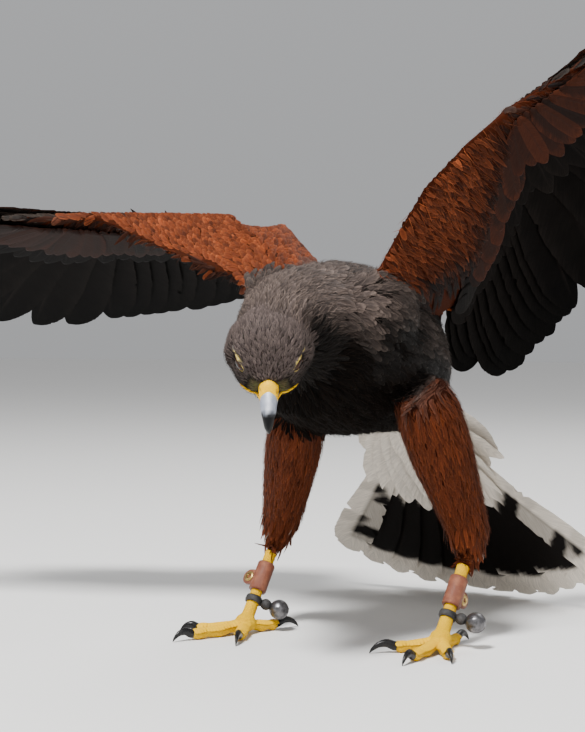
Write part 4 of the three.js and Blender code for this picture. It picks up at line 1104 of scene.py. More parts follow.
def lining_locks_and_painted_light(w, points, behind):
    """The lining lies in uneven locks. Its painted light along the front of the wing, its painted shade
    behind, and the wing's own painted shade are multiplied in.
    """
    locks = np.clip(1 + 0.95 * wander(points, 12, 17), 0.2, 2.2)
    return (w["lining"] * locks * (1.35 - 0.95 * smooth_step(-24, 2, behind)))[:, None]


flight_vane = feather_material("flight_vane", 0.45, 0.75, 150, 0.22, roughness=0.6, sheen=0, bump=0.0003,
                               specular=0.02)
covert_vane = feather_material("covert_vane", 0.55, 0.6, 60, 0.3, roughness=0.6, sheen=0.003, specular=0.03)
rufous_vane = feather_material("rufous_vane", 0.75, 0.35, 30, 0.42, roughness=0.62, sheen=0.02)

for name, w in wings.items():
    draw = np.random.default_rng(41 if name == "left" else 42)
    plan = flight_plan(w)
    stack = {key: np.array([f[key] for f in plan]) for key in plan[0]}
    n = len(plan)
    along = unit(stack["along"] + 0.012 * draw.normal(size=(n, 1)) * stack["side"])
    lengths = stack["length"] * draw.uniform(0.985, 1.012, n)
    spines, sides, ups = straight(stack["root"], along, stack["face"], stack["side"], lengths, stack["sag"], 8,
                                  FLIGHT_ROWS)
    shares = np.stack([outline_shares(FINGER_OUTLINE, FLIGHT_ROWS, 0.9) if kind == "finger"
                       else outline_shares(FLIGHT_OUTLINE, FLIGHT_ROWS, 0.74) for kind in stack["kind"]])
    for i in range(n):
        for notch in draw.integers(14, 54, draw.integers(1, 4)):
            shares[i, notch, draw.integers(0, 2)] *= draw.uniform(0.9, 0.97)
    tops = FLIGHT_TOP * draw.uniform(0.85, 1.25, (n, 1))
    belows = FLIGHT_BELOW_PAINTED_SHADE * draw.uniform(0.8, 1.15, (n, 1))
    # Faint bars cross each vane, and its outer half is duskier
    bars = 1 - 0.16 * (np.sin(FLIGHT_ROWS * 52 + 1.5)[None, :, None, None] > 0.35)
    dusk = 1.15 - 0.8 * smooth_step(0.5, 1.0, FLIGHT_ROWS)[None, :, None, None]
    tint = above_and_below(tops, belows) * bars * dusk
    fringe = np.minimum(tint * 1.8 + 0.0018, 0.2)
    piece = vanes(f"flights_{name}", spines, sides, ups, stack["lead"], stack["trail"], shares,
                  nearest_faces(stack["root"]), tint, fringe, FLIGHT_ROWS, flight_vane, ribs=FLIGHT_RIBS,
                  thick=VANE_THICK, cup=0.05, ragged=0.012, seed=43, level=None)
    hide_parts(f"wing_{name}_upper_arm", f"wing_{name}_forearm", f"wing_{name}_hand")

    for tier, count, share, lift, back, lead, trail, longest in COVERT_TIERS:
        at = (np.linspace(0, n - 1, count) + draw.uniform(-0.12, 0.12, count)).clip(0, n - 1)
        root, way, up, side, face = (
            np.stack([np.interp(at, np.arange(n), stack[key][:, c]) for c in range(3)], 1)
            for key in ("root", "along", "up", "side", "face")
        )
        size = np.minimum(np.interp(at, np.arange(n), stack["length"]) * share, longest)
        size = size * draw.uniform(0.9, 1.1, count)
        outward = 1 if lift > 0 else -1
        along = unit(way + 0.03 * draw.normal(size=(count, 1)) * side)
        roots = root + up * (lift * draw.uniform(0.94, 1.06, (count, 1))) - back * along
        side, face = unit(side), unit(face)
        if outward < 0:
            side = unit(side + up * math.sin(2 * TIP_UNDER) * 0.2)
        spines, sides, ups = straight(roots, along, face, side, size, outward * 1.5, 4, COVERT_ROWS)
        spines += outward * 1.6 * face[:, None] * (COVERT_ROWS**2)[None, :, None]
        wrist_rank = w["inner"] + SECONDARY_COUNT
        hand_share = smooth_step(wrist_rank - 1.5, wrist_rank + 1.5, at)[:, None]
        if tier == "greater_upper":
            tint, fringe = np.tile(COVERT_DARK[0], (count, 1)), np.tile(COVERT_DARK[1], (count, 1))
            fringe = fringe * hand_share + (0.4 * np.array(RUFOUS[0]) + 0.6 * fringe) * (1 - hand_share)
        elif tier == "median_upper":
            tint = np.array(RUFOUS[0]) * (1 - hand_share) * 0.8 + COVERT_DARK[0] * hand_share
            fringe = np.array(RUFOUS[1]) * (1 - hand_share) + np.array(RUFOUS[0]) * 0.55 * hand_share
        elif tier == "greater_under":
            tint, fringe = np.tile(UNDER_GREY[0], (count, 1)), np.tile(UNDER_GREY[1], (count, 1))
        else:
            mottle = draw.uniform(0.1, 0.8, (count, 1)) * (0.55 + 0.45 * hand_share)
            rufous = smooth_step(1.0, 4.5, at)[:, None]
            tint = UNDER_GREY[0] * (1 - mottle * rufous) + LINING[0] * mottle * rufous
            fringe = UNDER_GREY[1] * (1 - rufous) + 0.9 * LINING[0] * rufous
        # Under the wing the coverts are darkened by that wing's painted shade
        shade = draw.uniform(0.8, 1.2, (count, 1)) * (w["lining"] if outward < 0 else 1)
        material = covert_vane if tier.startswith("greater") else rufous_vane
        piece = vanes(f"{tier}_coverts_{name}", spines, sides, ups, lead, trail,
                      outline_shares(FLIGHT_OUTLINE, COVERT_ROWS, 0.55), nearest_faces(roots), tint * shade,
                      fringe * shade, COVERT_ROWS, material, ribs=5, thick=0.4, cup=0.06 * outward, ragged=0.04,
                      seed=44, level=None)
        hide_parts(f"wing_{name}_upper_arm", f"wing_{name}_forearm", f"wing_{name}_hand")

    # The short feathers that lie over the flesh of the wing, from its front edge back
    label = part_names.index(f"wing_{name}")

    def wing_lie(at, normal, kinds_here):
        share = np.clip((at - w["elbow"]) @ w["ulna"] / ULNA, 0, 1)[:, None]
        hand = np.clip((at - w["wrist"]) @ w["hand"] / HAND, 0, 1)[:, None]
        way = w["tertial"] * (1 - share) + w["secondary"] * share
        outward = np.where((at - w["elbow"]) @ w["ulna"] > 0, 0.32, 0.1)[:, None]
        way = unit(way) * (1 - 0.75 * hand) + w["hand"] * 0.75 * hand
        return way + outward * (1 - hand) * w["ulna"]

    # How far each face lies behind the arm's nearest bone
    back_far = np.zeros(len(face_middle))
    chain = [(w["shoulder"], w["elbow"]), (w["elbow"], w["wrist"]),
             (w["wrist"], w["hand_end"] + 16 * w["hand"])]
    on_wing = face_kinds == label
    near = np.full(len(face_middle), 1e9)
    for a, b in chain:
        t = np.clip((face_middle - a) @ (b - a) / np.dot(b - a, b - a), 0, 1)[:, None]
        gap = face_middle - (a + t * (b - a))
        near_here = np.linalg.norm(gap, axis=1)
        nearer = near_here < near
        near = np.where(nearer, near_here, near)
        back_far = np.where(nearer, gap @ unit(w["tertial"] + w["secondary"]), back_far)
    facing = face_normal @ w["forearm_up"]
    hand_far = (face_middle - w["wrist"]) @ w["hand"]
    span_far = (face_middle - w["shoulder"]) @ w["span"]
    for coat, form in WING_COATS.items():
        below = coat == "lining"
        first, more = form["spacing"]
        spacing = np.where(on_wing & ((facing < 0) == below), first + more * smooth_step(-20, 20, back_far), 0)
        if below:
            spacing[(back_far > 12) & (span_far < 62)] = 0
        else:
            spacing[(spacing > 0) & (hand_far > 4)] = 3.2
            # None grows along the rims, at the bend of the wrist or in the fold of the shoulder
            bare = (back_far > 8) & (facing < 0.45) | (back_far < -8) & (facing < 0.22)
            bare |= (back_far > 3) & (np.abs(hand_far) < 22)
            bare |= (back_far > 4) & (facing < 0.6) & (span_far < 75)
            if not w["crest"]:
                bare |= (back_far > -6) & (facing < 0.9) & (span_far < 52)
            spacing[bare] = 0
        roots, faces = scatter(spacing, 60 + w["side"] + 5 * below)
        behind = smooth_step(-26, 22, back_far[faces])
        first, more = form["length"]
        lengths = (first + more * behind) * draw.uniform(*form["spread"], len(roots))
        if below:
            lengths[(back_far[faces] > -10) & (span_far[faces] < 100)] *= 0.4 if w["crest"] else 0.8
            lengths *= 0.55 + 0.45 * smooth_step(-28, -8, back_far[faces])
        else:
            lengths[(back_far[faces] > 4) & (span_far[faces] < 80)] *= 0.55
        spines, sides, ups, faces = laid(roots, wing_lie, lengths, form["rise"], 0.7, VANE_ROWS, draw,
                                         stray=form["stray"])
        if not below:
            # None wraps round the rear edge to the lower side
            under_tip = on_skin(spines[:, -1])[1] @ w["forearm_up"]
            stays = ((under_tip > -0.2) & (ups[:, -1] @ w["forearm_up"] > 0.05)) | (back_far[faces] < 0)
            spines, sides, ups, faces = (a[stays] for a in (spines, sides, ups, faces))
            roots, behind = roots[stays], behind[stays]
        first, more = form["half"]
        half = first + more * behind
        tint, fringe = coat_colours(roots, unit(ups[:, 0]), face_kinds[faces])
        root_hand = (roots - w["wrist"]) @ w["hand"]
        if below:
            in_reach = smooth_step(14, 30, (roots - w["shoulder"]) @ w["span"])
            # Behind, the lining turns dark grey: partly the grey of the under coverts, partly painted shadow
            dark = 0.88 * smooth_step(-13, 5, back_far[faces] + 6 * draw.normal(size=len(roots)))
            tint, fringe = mixed(mixed((tint, fringe), LINING, in_reach), (UNDER_GREY[0], LINING[0]), dark)
        else:
            # On the hand the upper coverts turn dark, past a speckled edge at the wrist
            front = back_far[faces] < 0
            dark = smooth_step(2, 26, root_hand + 10 * draw.normal(size=len(roots)))
            spots = (draw.random(len(roots)) < 0.25) & (np.abs(root_hand + 10) < 22) & front
            tint, fringe = mixed((tint, fringe), COVERT_DARK, np.maximum(dark, spots * 0.85))
        shade = np.clip(draw.normal(1, 0.24, len(roots)), 0.5, 1.7)[:, None]
        # The lining's locks, with painted light along its front edge and painted shade behind
        if below:
            shade *= lining_locks_and_painted_light(w, roots, back_far[faces])
        piece = vanes(f"{coat}_coverts_{name}", spines, sides, ups, half, half, form["tip"], faces,
                      tint * shade, fringe * shade, VANE_ROWS, rufous_vane, ribs=3, thick=0.24, cup=0.2,
                      ragged=0.12, seed=61, level=None)
        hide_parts(f"wing_{name}_upper_arm", f"wing_{name}_forearm", f"wing_{name}_hand")

        far, size, wide, rise = WING_BARBS[coat]
        roots, faces = scatter(np.where(spacing > 0, far, 0.0), 70 + w["side"] + 5 * below)
        lengths = size * draw.uniform(0.7, 1.3, len(roots))
        spines, sides, ups, faces = laid(roots, wing_lie, lengths, rise, 0.1, WISP_ROWS, draw, stray=0.3)
        spines += ups * WISP_LIFT
        tint, fringe = coat_colours(roots, unit(ups[:, 0]), face_kinds[faces])
        root_hand = (roots - w["wrist"]) @ w["hand"]
        dark = smooth_step(-4, 22, root_hand)[:, None] * (not below)
        golden = draw.random((len(roots), 1)) ** 3 * (1 - dark)
        colour = (tint * (1 - golden) + fringe * 1.15 * golden) * (1 - dark) + COVERT_DARK[1] * dark
        if below:
            shadow = (0.85 * smooth_step(-13, 5, back_far[faces] + 6 * draw.normal(size=len(roots))))[:, None]
            colour = colour * (1 - shadow) + UNDER_GREY[1] * shadow
            # The lining's locks, with painted light along its front edge and painted shade behind
            colour *= lining_locks_and_painted_light(w, roots, back_far[faces])
        piece = vanes(f"{coat}_barbs_{name}", spines, sides, ups, wide, wide, WISP_TIP, faces, colour, colour,
                      WISP_ROWS, rufous_vane, ribs=1, thick=0.16, cup=0, ragged=0.05, seed=62, level=None)
        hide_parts(f"wing_{name}_upper_arm", f"wing_{name}_forearm", f"wing_{name}_hand")


# ---- Tail
# Twelve broad feathers shingled outwards from the middle pair: white at the root, black for the last half
# and white at the tip. Long soft white coverts lie over their roots above and below.
TAIL = dict(drop=52, swing=11, spread=44, count=12, length=226, half=19.5, top=4.6, step=1.12)
TAIL_OUTLINE = ((0, 0.2, 0.2), (0.3, 0.62, 0.62), (0.72, 1, 1), (0.9, 0.97, 0.97), (1, 0.9, 0.9))
TAIL_WHITE = np.array([0.66, 0.60, 0.52])
TAIL_BLACK = np.array([0.0045, 0.0035, 0.003])
FLOOR_BEND = 1.2
# [name, how many, length, half width, lift, tilt, spread, distance down the stump]
TAIL_COVERTS = (
    ("undertail_long", 10, 118, 15, -11.0, -7, 36, 4),
    ("undertail_middle", 11, 92, 14, -13.5, -9, 36, 0),
    ("undertail_short", 12, 66, 12, -15.0, -11, 38, -8),
    ("uppertail_long", 9, 78, 14, 7.6, 7, 29, 4),
    ("uppertail_short", 9, 58, 12, 10.6, 9, 29, -4),
    ("flank_upper", 8, 80, 14, 4.5, 3, 52, -4),
    ("flank_under", 8, 86, 14, -8.0, -4, 52, -4),
)
drop, swing = math.radians(TAIL["drop"]), math.radians(TAIL["swing"])
tail_axis = np.array([math.sin(swing) * math.cos(drop), math.cos(swing) * math.cos(drop), -math.sin(drop)])
tail_out = np.array([math.cos(swing), -math.sin(swing), 0.0])
tail_up = unit(np.cross(tail_out, tail_axis))


def fanned(angles, far, across, lift, tilt, lengths, rows, sag):
    """Spines of feathers fanned about the tail's root, each leaning by its tilt away from the middle."""
    turn = np.radians(angles)[:, None]
    lean = np.radians(tilt) * np.where(angles >= 0, 1, -1)[:, None]
    along = tail_axis * np.cos(turn) + tail_out * np.sin(turn)
    flat = tail_out * np.cos(turn) - tail_axis * np.sin(turn)
    side = flat * np.cos(lean) + tail_up * np.sin(lean)
    face = tail_up * np.cos(lean) - flat * np.sin(lean)
    roots = TAIL_ROOT + tail_axis * far + tail_out * across[:, None] + tail_up * np.reshape(lift, (-1, 1))
    return (roots, *straight(roots, along, face, side, lengths, sag, 0, rows))


def settle(spines, low):
    """Lets what would reach under the floor lie on it instead, with a soft bend."""
    low = np.reshape(low, (-1, 1))
    spines[:, :, 2] = low + FLOOR_BEND * np.logaddexp(0, (spines[:, :, 2] - low) / FLOOR_BEND)
    return spines


draw = np.random.default_rng(71)
count = TAIL["count"]
share = (np.arange(count) + 0.5) / count - 0.5
rank = np.abs(share) * count - 0.5
layer = 2 * rank + (share > 0)
lengths = TAIL["length"] - 26 - 1.6 * rank + draw.uniform(-2, 2, count)
angles = 2 * share * TAIL["spread"]
lifts = TAIL["top"] - TAIL["step"] * layer
roots, spines, sides, ups = fanned(angles, 26, share * 30, lifts, 0, lengths, FLIGHT_ROWS, 3)
spines = settle(spines, 0.5 + 0.35 * (11 - layer))
shares = np.stack([outline_shares(TAIL_OUTLINE, FLIGHT_ROWS, 0.88)] * count)
for i in range(count):
    for notch in draw.integers(20, 57, 5):
        shares[i, notch, draw.integers(0, 2)] *= draw.uniform(0.6, 0.9)
    shares[i, -6:] *= draw.uniform(0.72, 1.12, (6, 2))
# Black from 40 % to 88 % of each vane, less near its edges; the outermost pair is blotched with white
u = FLIGHT_ROWS[None, :, None]
across = ring_across(FLIGHT_RIBS)[None, None]
outer = across * np.where(share > 0, 1, -1)[:, None, None]
wobble = draw.normal(size=(count, 1, 1)) * 0.015
begin = 0.40 + wobble + 0.05 * across**2
finish = 0.885 + wobble * 0.5 - 0.035 * across**2
black = smooth_step(begin - 0.03, begin + 0.03, u) * (1 - smooth_step(finish - 0.014, finish + 0.014, u))
waves = np.sin(u * 21 + rank[:, None, None] * 2.1) + 0.55 * np.sin(u * 47 + across * 3)
blotch = smooth_step(0.0, 0.45, waves - 0.2)
blotched = black * np.where(outer > 0.05, 0.2 * blotch, 0.45 + 0.55 * blotch)
black = np.where((rank >= 5)[:, None, None], blotched, black)
tint = TAIL_WHITE * (1 - black[..., None]) + TAIL_BLACK * black[..., None]
tail_vane = feather_material("tail_vane", 0.2, 0.4, 150, 0.1, roughness=0.6, sheen=0.003, bump=0.0003,
                             specular=0.05)
piece = vanes("tail_feathers", spines, sides, ups, TAIL["half"], TAIL["half"], shares, nearest_faces(roots),
              tint, tint * 1.1, FLIGHT_ROWS, tail_vane, ribs=FLIGHT_RIBS, thick=VANE_THICK, cup=0.03,
              ragged=0.01, seed=72, level=0.3)
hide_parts("tail")

soft_white = feather_material("soft_white", 0.4, 0.08, 60, 0.06, roughness=0.85, sheen=0.06)
for k, (name, count, length, half, lift, tilt, spread, far) in enumerate(TAIL_COVERTS):
    share = (np.arange(count) + 0.5) / count - 0.5 + draw.uniform(-0.012, 0.012, count)
    lengths = length * (1 - 0.5 * share**2) * draw.uniform(0.93, 1.07, count)
    lift = lift + np.where(np.arange(count) % 2, 0.6, -0.6)
    roots, spines, sides, ups = fanned(2 * share * spread, far, share * 38, lift, tilt, lengths, COVERT_ROWS,
                                       np.sign(lift) * 6)
    spines = settle(spines, 0.6)
    tint = np.tile(WHITE[0], (count, 1)) * draw.uniform(0.9, 1.04, (count, 1))
    piece = vanes(name, spines, sides, ups, half, half, outline_shares(FLIGHT_OUTLINE, COVERT_ROWS, 0.45),
                  nearest_faces(roots), tint, tint * 1.06, COVERT_ROWS, soft_white, ribs=5, thick=0.4,
                  cup=-0.12 * np.sign(lift[0]), ragged=0.08, seed=80 + k, level=0.3)
    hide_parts("tail")


# ---- Trousers
# Long loose plumes hang from the lower end of each thigh, over the back of the bare shank. They are soft,
# rufous and frayed, with a few pale ones among them.
PLUME = dict(reach=26, front=-3, spacing=2.3, lengths=(9, 17), half=1.5, pale=0.07)
for name, g in legs.items():
    draw = np.random.default_rng(92 + g["side"])
    from_hock = face_middle - g["hock"]
    rise, behind = from_hock @ g["rise"], from_hock @ g["behind"]
    hem = (kind_name == f"thigh_{name}") & (rise < PLUME["reach"]) & (rise > -4) & (behind > PLUME["front"])
    roots, faces = scatter(np.where(hem, PLUME["spacing"], 0.0), 94 + g["side"])
    normal = face_normal[faces]
    n = len(roots)
    along = unit(-g["rise"] + 0.4 * g["down"] + 0.2 * normal + 0.07 * draw.normal(size=(n, 3)))
    side = unit(np.cross(along, normal))
    face = np.cross(side, along)
    lengths = draw.uniform(*PLUME["lengths"], n)
    lengths = lengths * (0.75 + 0.5 * smooth_step(-6, 14, (roots - g["hock"]) @ g["behind"]))
    sag, sweep = draw.uniform(1, 6, n), draw.uniform(-3, 3, n)
    spines, sides, ups = straight(roots - normal, along, face, side, lengths, sag, sweep, COVERT_ROWS)
    tint, fringe = coat_colours(roots, normal, face_kinds[faces])
    pale = (draw.random((n, 1)) < PLUME["pale"]) * draw.uniform(0.15, 0.5, (n, 1))
    shade = draw.uniform(0.7, 1.25, (n, 1))
    tint, fringe = mixed((tint * shade, fringe * shade), WHITE, pale[:, 0])
    piece = vanes(f"trousers_{name}", spines, sides, ups, PLUME["half"], PLUME["half"],
                  outline_shares(FLIGHT_OUTLINE, COVERT_ROWS, 0.3), faces, tint, fringe, COVERT_ROWS,
                  rufous_vane, ribs=1, thick=0.24, cup=0.1, ragged=0.16, seed=95, level=None)
    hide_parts(f"leg_{name}_thigh")


# ---- Shanks and feet
# Bare yellow skin from the hem of the feathers to the claws: round tendons and pads, with broad horny scutes
# down the front of the shank and over each toe, and small pebbled scales everywhere else.
FOOT_VOXEL = 0.0008
TARSUS = (5.4, 4.5, 5.6)
# [name, angle from straight ahead towards the outside, length, claw length]
TOES = (("inner", -52, 35, 21), ("middle", -3, 50, 18), ("outer", 30, 38, 15), ("hind", 176, 30, 23))
# [share of the toe's length, height of its middle, radius]
TOE_ARCH = np.array([(0, 7.6, 6.4), (0.3, 6.3, 4.5), (0.52, 4.6, 5.3),
                     (0.72, 4.9, 4.1), (0.9, 4.3, 5.0), (1, 5, 3.5)])
SCUTE_PITCH = 2.7
# Shares of the shank that bear scutes: above the anklet, between it and the bell strap, and below the strap
SHANK_SCUTES = ((0.27, 0.39), (0.70, 0.74), (0.82, 1.0))
YELLOW = np.array([0.75, 0.42, 0.0003])
YELLOW_PALE = np.array([0.78, 0.46, 0.0005])


def eased(table, count):
    """A table resampled along a smooth curve through its rows."""
    table = np.asarray(table, float)
    t = np.linspace(0, len(table) - 1, count)
    i = np.minimum(t.astype(int), len(table) - 2)
    f = (t - i)[:, None]
    a, b, c, d = (table[np.clip(i + k, 0, len(table) - 1)] for k in (-1, 0, 1, 2))
    return b + 0.5 * f * (c - a + f * (2 * a - 5 * b + 4 * c - d + f * (3 * (b - c) + d - a)))


def ankle_at(g, share):
    return g["hock"] + share * (g["ball"] - g["hock"])


def tarsus_radius(share):
    return float(np.interp(share, (0, 0.55, 1), TARSUS))


def toe_ahead(g, angle):
    turn = math.radians(g["side"] * angle + g["turn"])
    return np.array([math.sin(turn), -math.cos(turn), 0.0])


def toe_top(share):
    """The height of a toe's upper side, a little within it, at a share of its length."""
    return float(np.interp(share, TOE_ARCH[:, 0], TOE_ARCH[:, 1] + 0.96 * TOE_ARCH[:, 2]))


def bare_skin_material():
    s = Surface("yellow_skin", {"Roughness": 0.5, "Specular IOR Level": 0.06, "Subsurface Weight": 0.02,
                                "Subsurface Radius": (0.004, 0.0022, 0.0008), "Subsurface Scale": 0.5})
    pebbles = s.step(s.cells(820.0), 0.0, 0.16)
    # The creases between the pebbles are painted darker: painted shade
    painted_crease_shade = s.maths("MULTIPLY", s.maths("SUBTRACT", 1.0, pebbles), 0.28)
    colour = s.mix(s.step(s.noise(70.0, 3.0), 0.38, 0.66), (*YELLOW, 1), (*YELLOW_PALE, 1))
    s.coloured(s.mix(painted_crease_shade, colour, (0.40, 0.21, 0.012, 1)))
    s.relief(0.7, 0.0005, pebbles)
    return s.material


yellow_skin = bare_skin_material()
SCUTE_ROWS = np.array([0, 0.3, 0.7, 0.92, 1.0])
SCUTE_SHARES = np.array([0.94, 1.0, 1.0, 0.92, 0.8])


def scute_material():
    s = Surface("scutes", {"Roughness": 0.45, "Specular IOR Level": 0.08})
    own = s.node("SeparateColor", {0: s.attribute("Own")}).outputs[0]
    far = s.node("SeparateXYZ", {0: s.node("UVMap", uv_map="Vane").outputs[0]}).outputs[0]
    colour = s.mix(own, (*YELLOW, 1), (*YELLOW_PALE, 1))
    s.coloured(s.mix(s.step(far, 0.75, 1.0, 0.0, 0.4), colour, (0.55, 0.33, 0.03, 1)))
    return s.material


scute_skin = scute_material()
for name, g in legs.items():
    shank = new_object(f"leg_skin_{name}", from_nodes(f"leg_{name}_tarsus", f"foot_{name}"), None)
    drawn_over(shank, FOOT_VOXEL)
    smooth = shank.modifiers.new("smooth", "SMOOTH")
    smooth.factor, smooth.iterations = 0.5, 8
    finished(shank)
    shank.data.materials.append(yellow_skin)
    shank.data.shade_smooth()
    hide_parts(f"leg_{name}_tarsus", f"foot_{name}")
    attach(shank, "root")

    # Scutes: [root, way along, outward, half width]
    plates = []
    for toe, angle, length, claw in TOES:
        ahead = toe_ahead(g, angle)
        for far in np.arange(6, length - 1, SCUTE_PITCH):
            share = far / length
            slope = (toe_top(share + 0.06) - toe_top(share - 0.06)) / (0.12 * length)
            along = unit(ahead + np.array([0, 0, slope]))
            outward = unit(np.cross(np.cross(along, [0, 0, 1]), along))
            root = g["ball"] * [1, 1, 0] + ahead * far + np.array([0, 0, toe_top(share)]) - 0.15 * outward
            half = 1.05 * float(np.interp(share, TOE_ARCH[:, 0], TOE_ARCH[:, 2]))
            plates.append((root, along, outward, half))
    front = -g["shank_back"]
    for share in np.concatenate([np.arange(low, high, 0.042) for low, high in SHANK_SCUTES]):
        radius = tarsus_radius(share)
        plates.append((ankle_at(g, share) + front * (1.07 * radius), g["down"], front, 0.95 * radius))
    roots, along, outward, half = (np.array([p[k] for p in plates]) for k in range(4))
    u = SCUTE_ROWS[None, :, None]
    spines = roots[:, None] + along[:, None] * u * SCUTE_PITCH * 1.25 + outward[:, None] * (0.2 * u**0.7)
    sides = np.repeat(np.cross(along, outward)[:, None], len(SCUTE_ROWS), 1)
    ups = np.repeat(outward[:, None], len(SCUTE_ROWS), 1)
    tint, fringe = (np.tile(colour, (len(half), 1)) for colour in (YELLOW, YELLOW_PALE))
    piece = vanes(f"scutes_{name}", spines, sides, ups, half, half, SCUTE_SHARES, nearest_faces(roots), tint,
                  fringe, SCUTE_ROWS, scute_skin, ribs=5, thick=0.3, cup=0.62, ragged=0.03, seed=91, level=0.1)
    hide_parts(f"foot_{name}")


# ---- Claws
# Solid black horn, oval in section, drawn to a fine point and polished by use.
# [share of the length past the toe, height of its middle, radius]
CLAW_HOOK = ((-0.12, 5, 3.0), (0.06, 5.4, 3.35), (0.34, 7.6, 2.9), (0.64, 6.6, 2.1), (0.87, 3.4, 1.2),
             (0.97, 0.9, 0.4), (0.99, 0.5, 0.15))


def claw_material():
    s = Surface("claw_horn", {"Specular IOR Level": 0.25, "Coat Weight": 0.08, "Coat Roughness": 0.2})
    drawn = s.node("Mapping", {"Vector": s.place, "Scale": (300, 300, 70)}).outputs[0]
    grain = s.node("TexNoise", {"Vector": drawn, "Detail": 3.0}).outputs["Fac"]
    s.coloured(s.mix(s.step(grain, 0.35, 0.75), (0.005, 0.005, 0.0055, 1), (0.016, 0.0145, 0.0135, 1)))
    s.feed(s.sockets["Roughness"], s.step(grain, 0.2, 0.8, 0.24, 0.38))
    s.relief(0.3, 0.0002, grain)
    return s.material


claw_horn = claw_material()
table = eased(CLAW_HOOK, 20)
for name, g in legs.items():
    for toe, angle, length, claw in TOES:
        ahead = toe_ahead(g, angle)
        path = g["ball"] * [1, 1, 0] + ahead * (length + table[:, :1] * claw)
        path = path + np.array([0, 0, 1.0]) * table[:, 1:2]
        ways = unit(np.gradient(path, axis=0))
        across = np.cross(ways[0], [0, 0, 1])
        rings = [oval(p, unit(across), unit(np.cross(across, way)), 0.86 * r, 1.08 * r, 14)
                 for p, way, r in zip(path, ways, table[:, 2])]
        piece = ringed(f"talon_{name}_{toe}", rings, claw_horn)
        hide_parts(f"claw_{name}_{toe}")
        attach(piece, "root")


# ---- Anklets, eyelets, bells
# Each shank wears a cuff of oiled brown leather closed by a brass eyelet, and below it a narrow black strap
# that carries a small round bell of dark plated metal with a slot across it.
AIR = 0.35
ANKLET = dict(start=0.4, end=0.68, leather=2, tab=15, tab_height=13, tab_thick=2.6)
TAB_ROUND = 6
# [share of the half thickness, how far the edge is drawn in]
TAB_LAYERS = ((-1, 0.35), (-0.72, 0), (-0.08, 0), (0, 0.3), (0.08, 0), (0.72, 0), (1, 0.35))
EYELET = dict(barrel=2.9, bore=1.7, flange=4.6)
STRAP = dict(start=0.74, end=0.8, leather=1.3, reach=10)
# [far along the button's axis, radius]
BUTTON = ((-4.2, 1.4), (-3.4, 3.2), (-1.6, 4.4), (-0.5, 4.5), (0, 3.9), (0.5, 4.5), (1.8, 4.3), (3.0, 3.0),
          (3.6, 1.2))
BELL = dict(radius=8, out=22, slot=1.4, slot_half=6.4)
EYELET_WAY = {"left": (0.2, 0.98, 0), "right": (-0.95, 0.3, 0)}
BELL_WAY = {"left": (0.95, 0.3, 0), "right": (0.8, 0.6, 0)}


def leather_material(name, colour, worn, roughness):
    s = Surface(name, {})
    grain = s.step(s.cells(1500.0), 0.0, 0.2)
    rub = s.noise(160.0, 5.0, 0.65)
    s.coloured(s.mix(s.step(rub, 0.42, 0.72), (*colour, 1), (*worn, 1)))
    s.feed(s.sockets["Roughness"], s.step(rub, 0.3, 0.7, roughness, roughness + 0.2))
    s.relief(0.5, 0.00025, s.maths("ADD", grain, s.maths("MULTIPLY", rub, 1.5)))
    return s.material


def metal_material(name, colour, tarnish, roughness):
    s = Surface(name, {"Metallic": 0.92})
    cloud = s.noise(240.0, 5.0, 0.7)
    s.coloured(s.mix(s.step(cloud, 0.35, 0.7), (*colour, 1), (*tarnish, 1)))
    s.feed(s.sockets["Roughness"], s.step(cloud, 0.3, 0.7, roughness, roughness + 0.22))
    s.relief(0.15, 0.0002, cloud)
    return s.material


def cuff(g, start, end, leather, soft, corners):
    """Rings of a cuff round a shank: the outer face, soft at its edges, then the bore."""
    rings = []
    hint = np.cross(g["down"], g["across"])
    outer = [(start, -soft), (start + 0.012, 0), ((start + end) / 2, 0.15), (end - 0.012, 0), (end, -soft)]
    for share, grow in outer + [(end, -leather), (start, -leather)]:
        r = tarsus_radius(share) + AIR + leather + grow
        rings.append(oval(ankle_at(g, share), g["across"], hint, r, 1.1 * r, corners))
    return rings


def turned_rings(middle, axis, profile, corners):
    """Round rings about an axis: [far along it, radius] for each."""
    across = unit(np.cross(axis, [0, 0, 1] if abs(axis[2]) < 0.9 else [1, 0, 0]))
    other = np.cross(axis, across)
    return [oval(middle + far * axis, across, other, radius, radius, corners) for far, radius in profile]


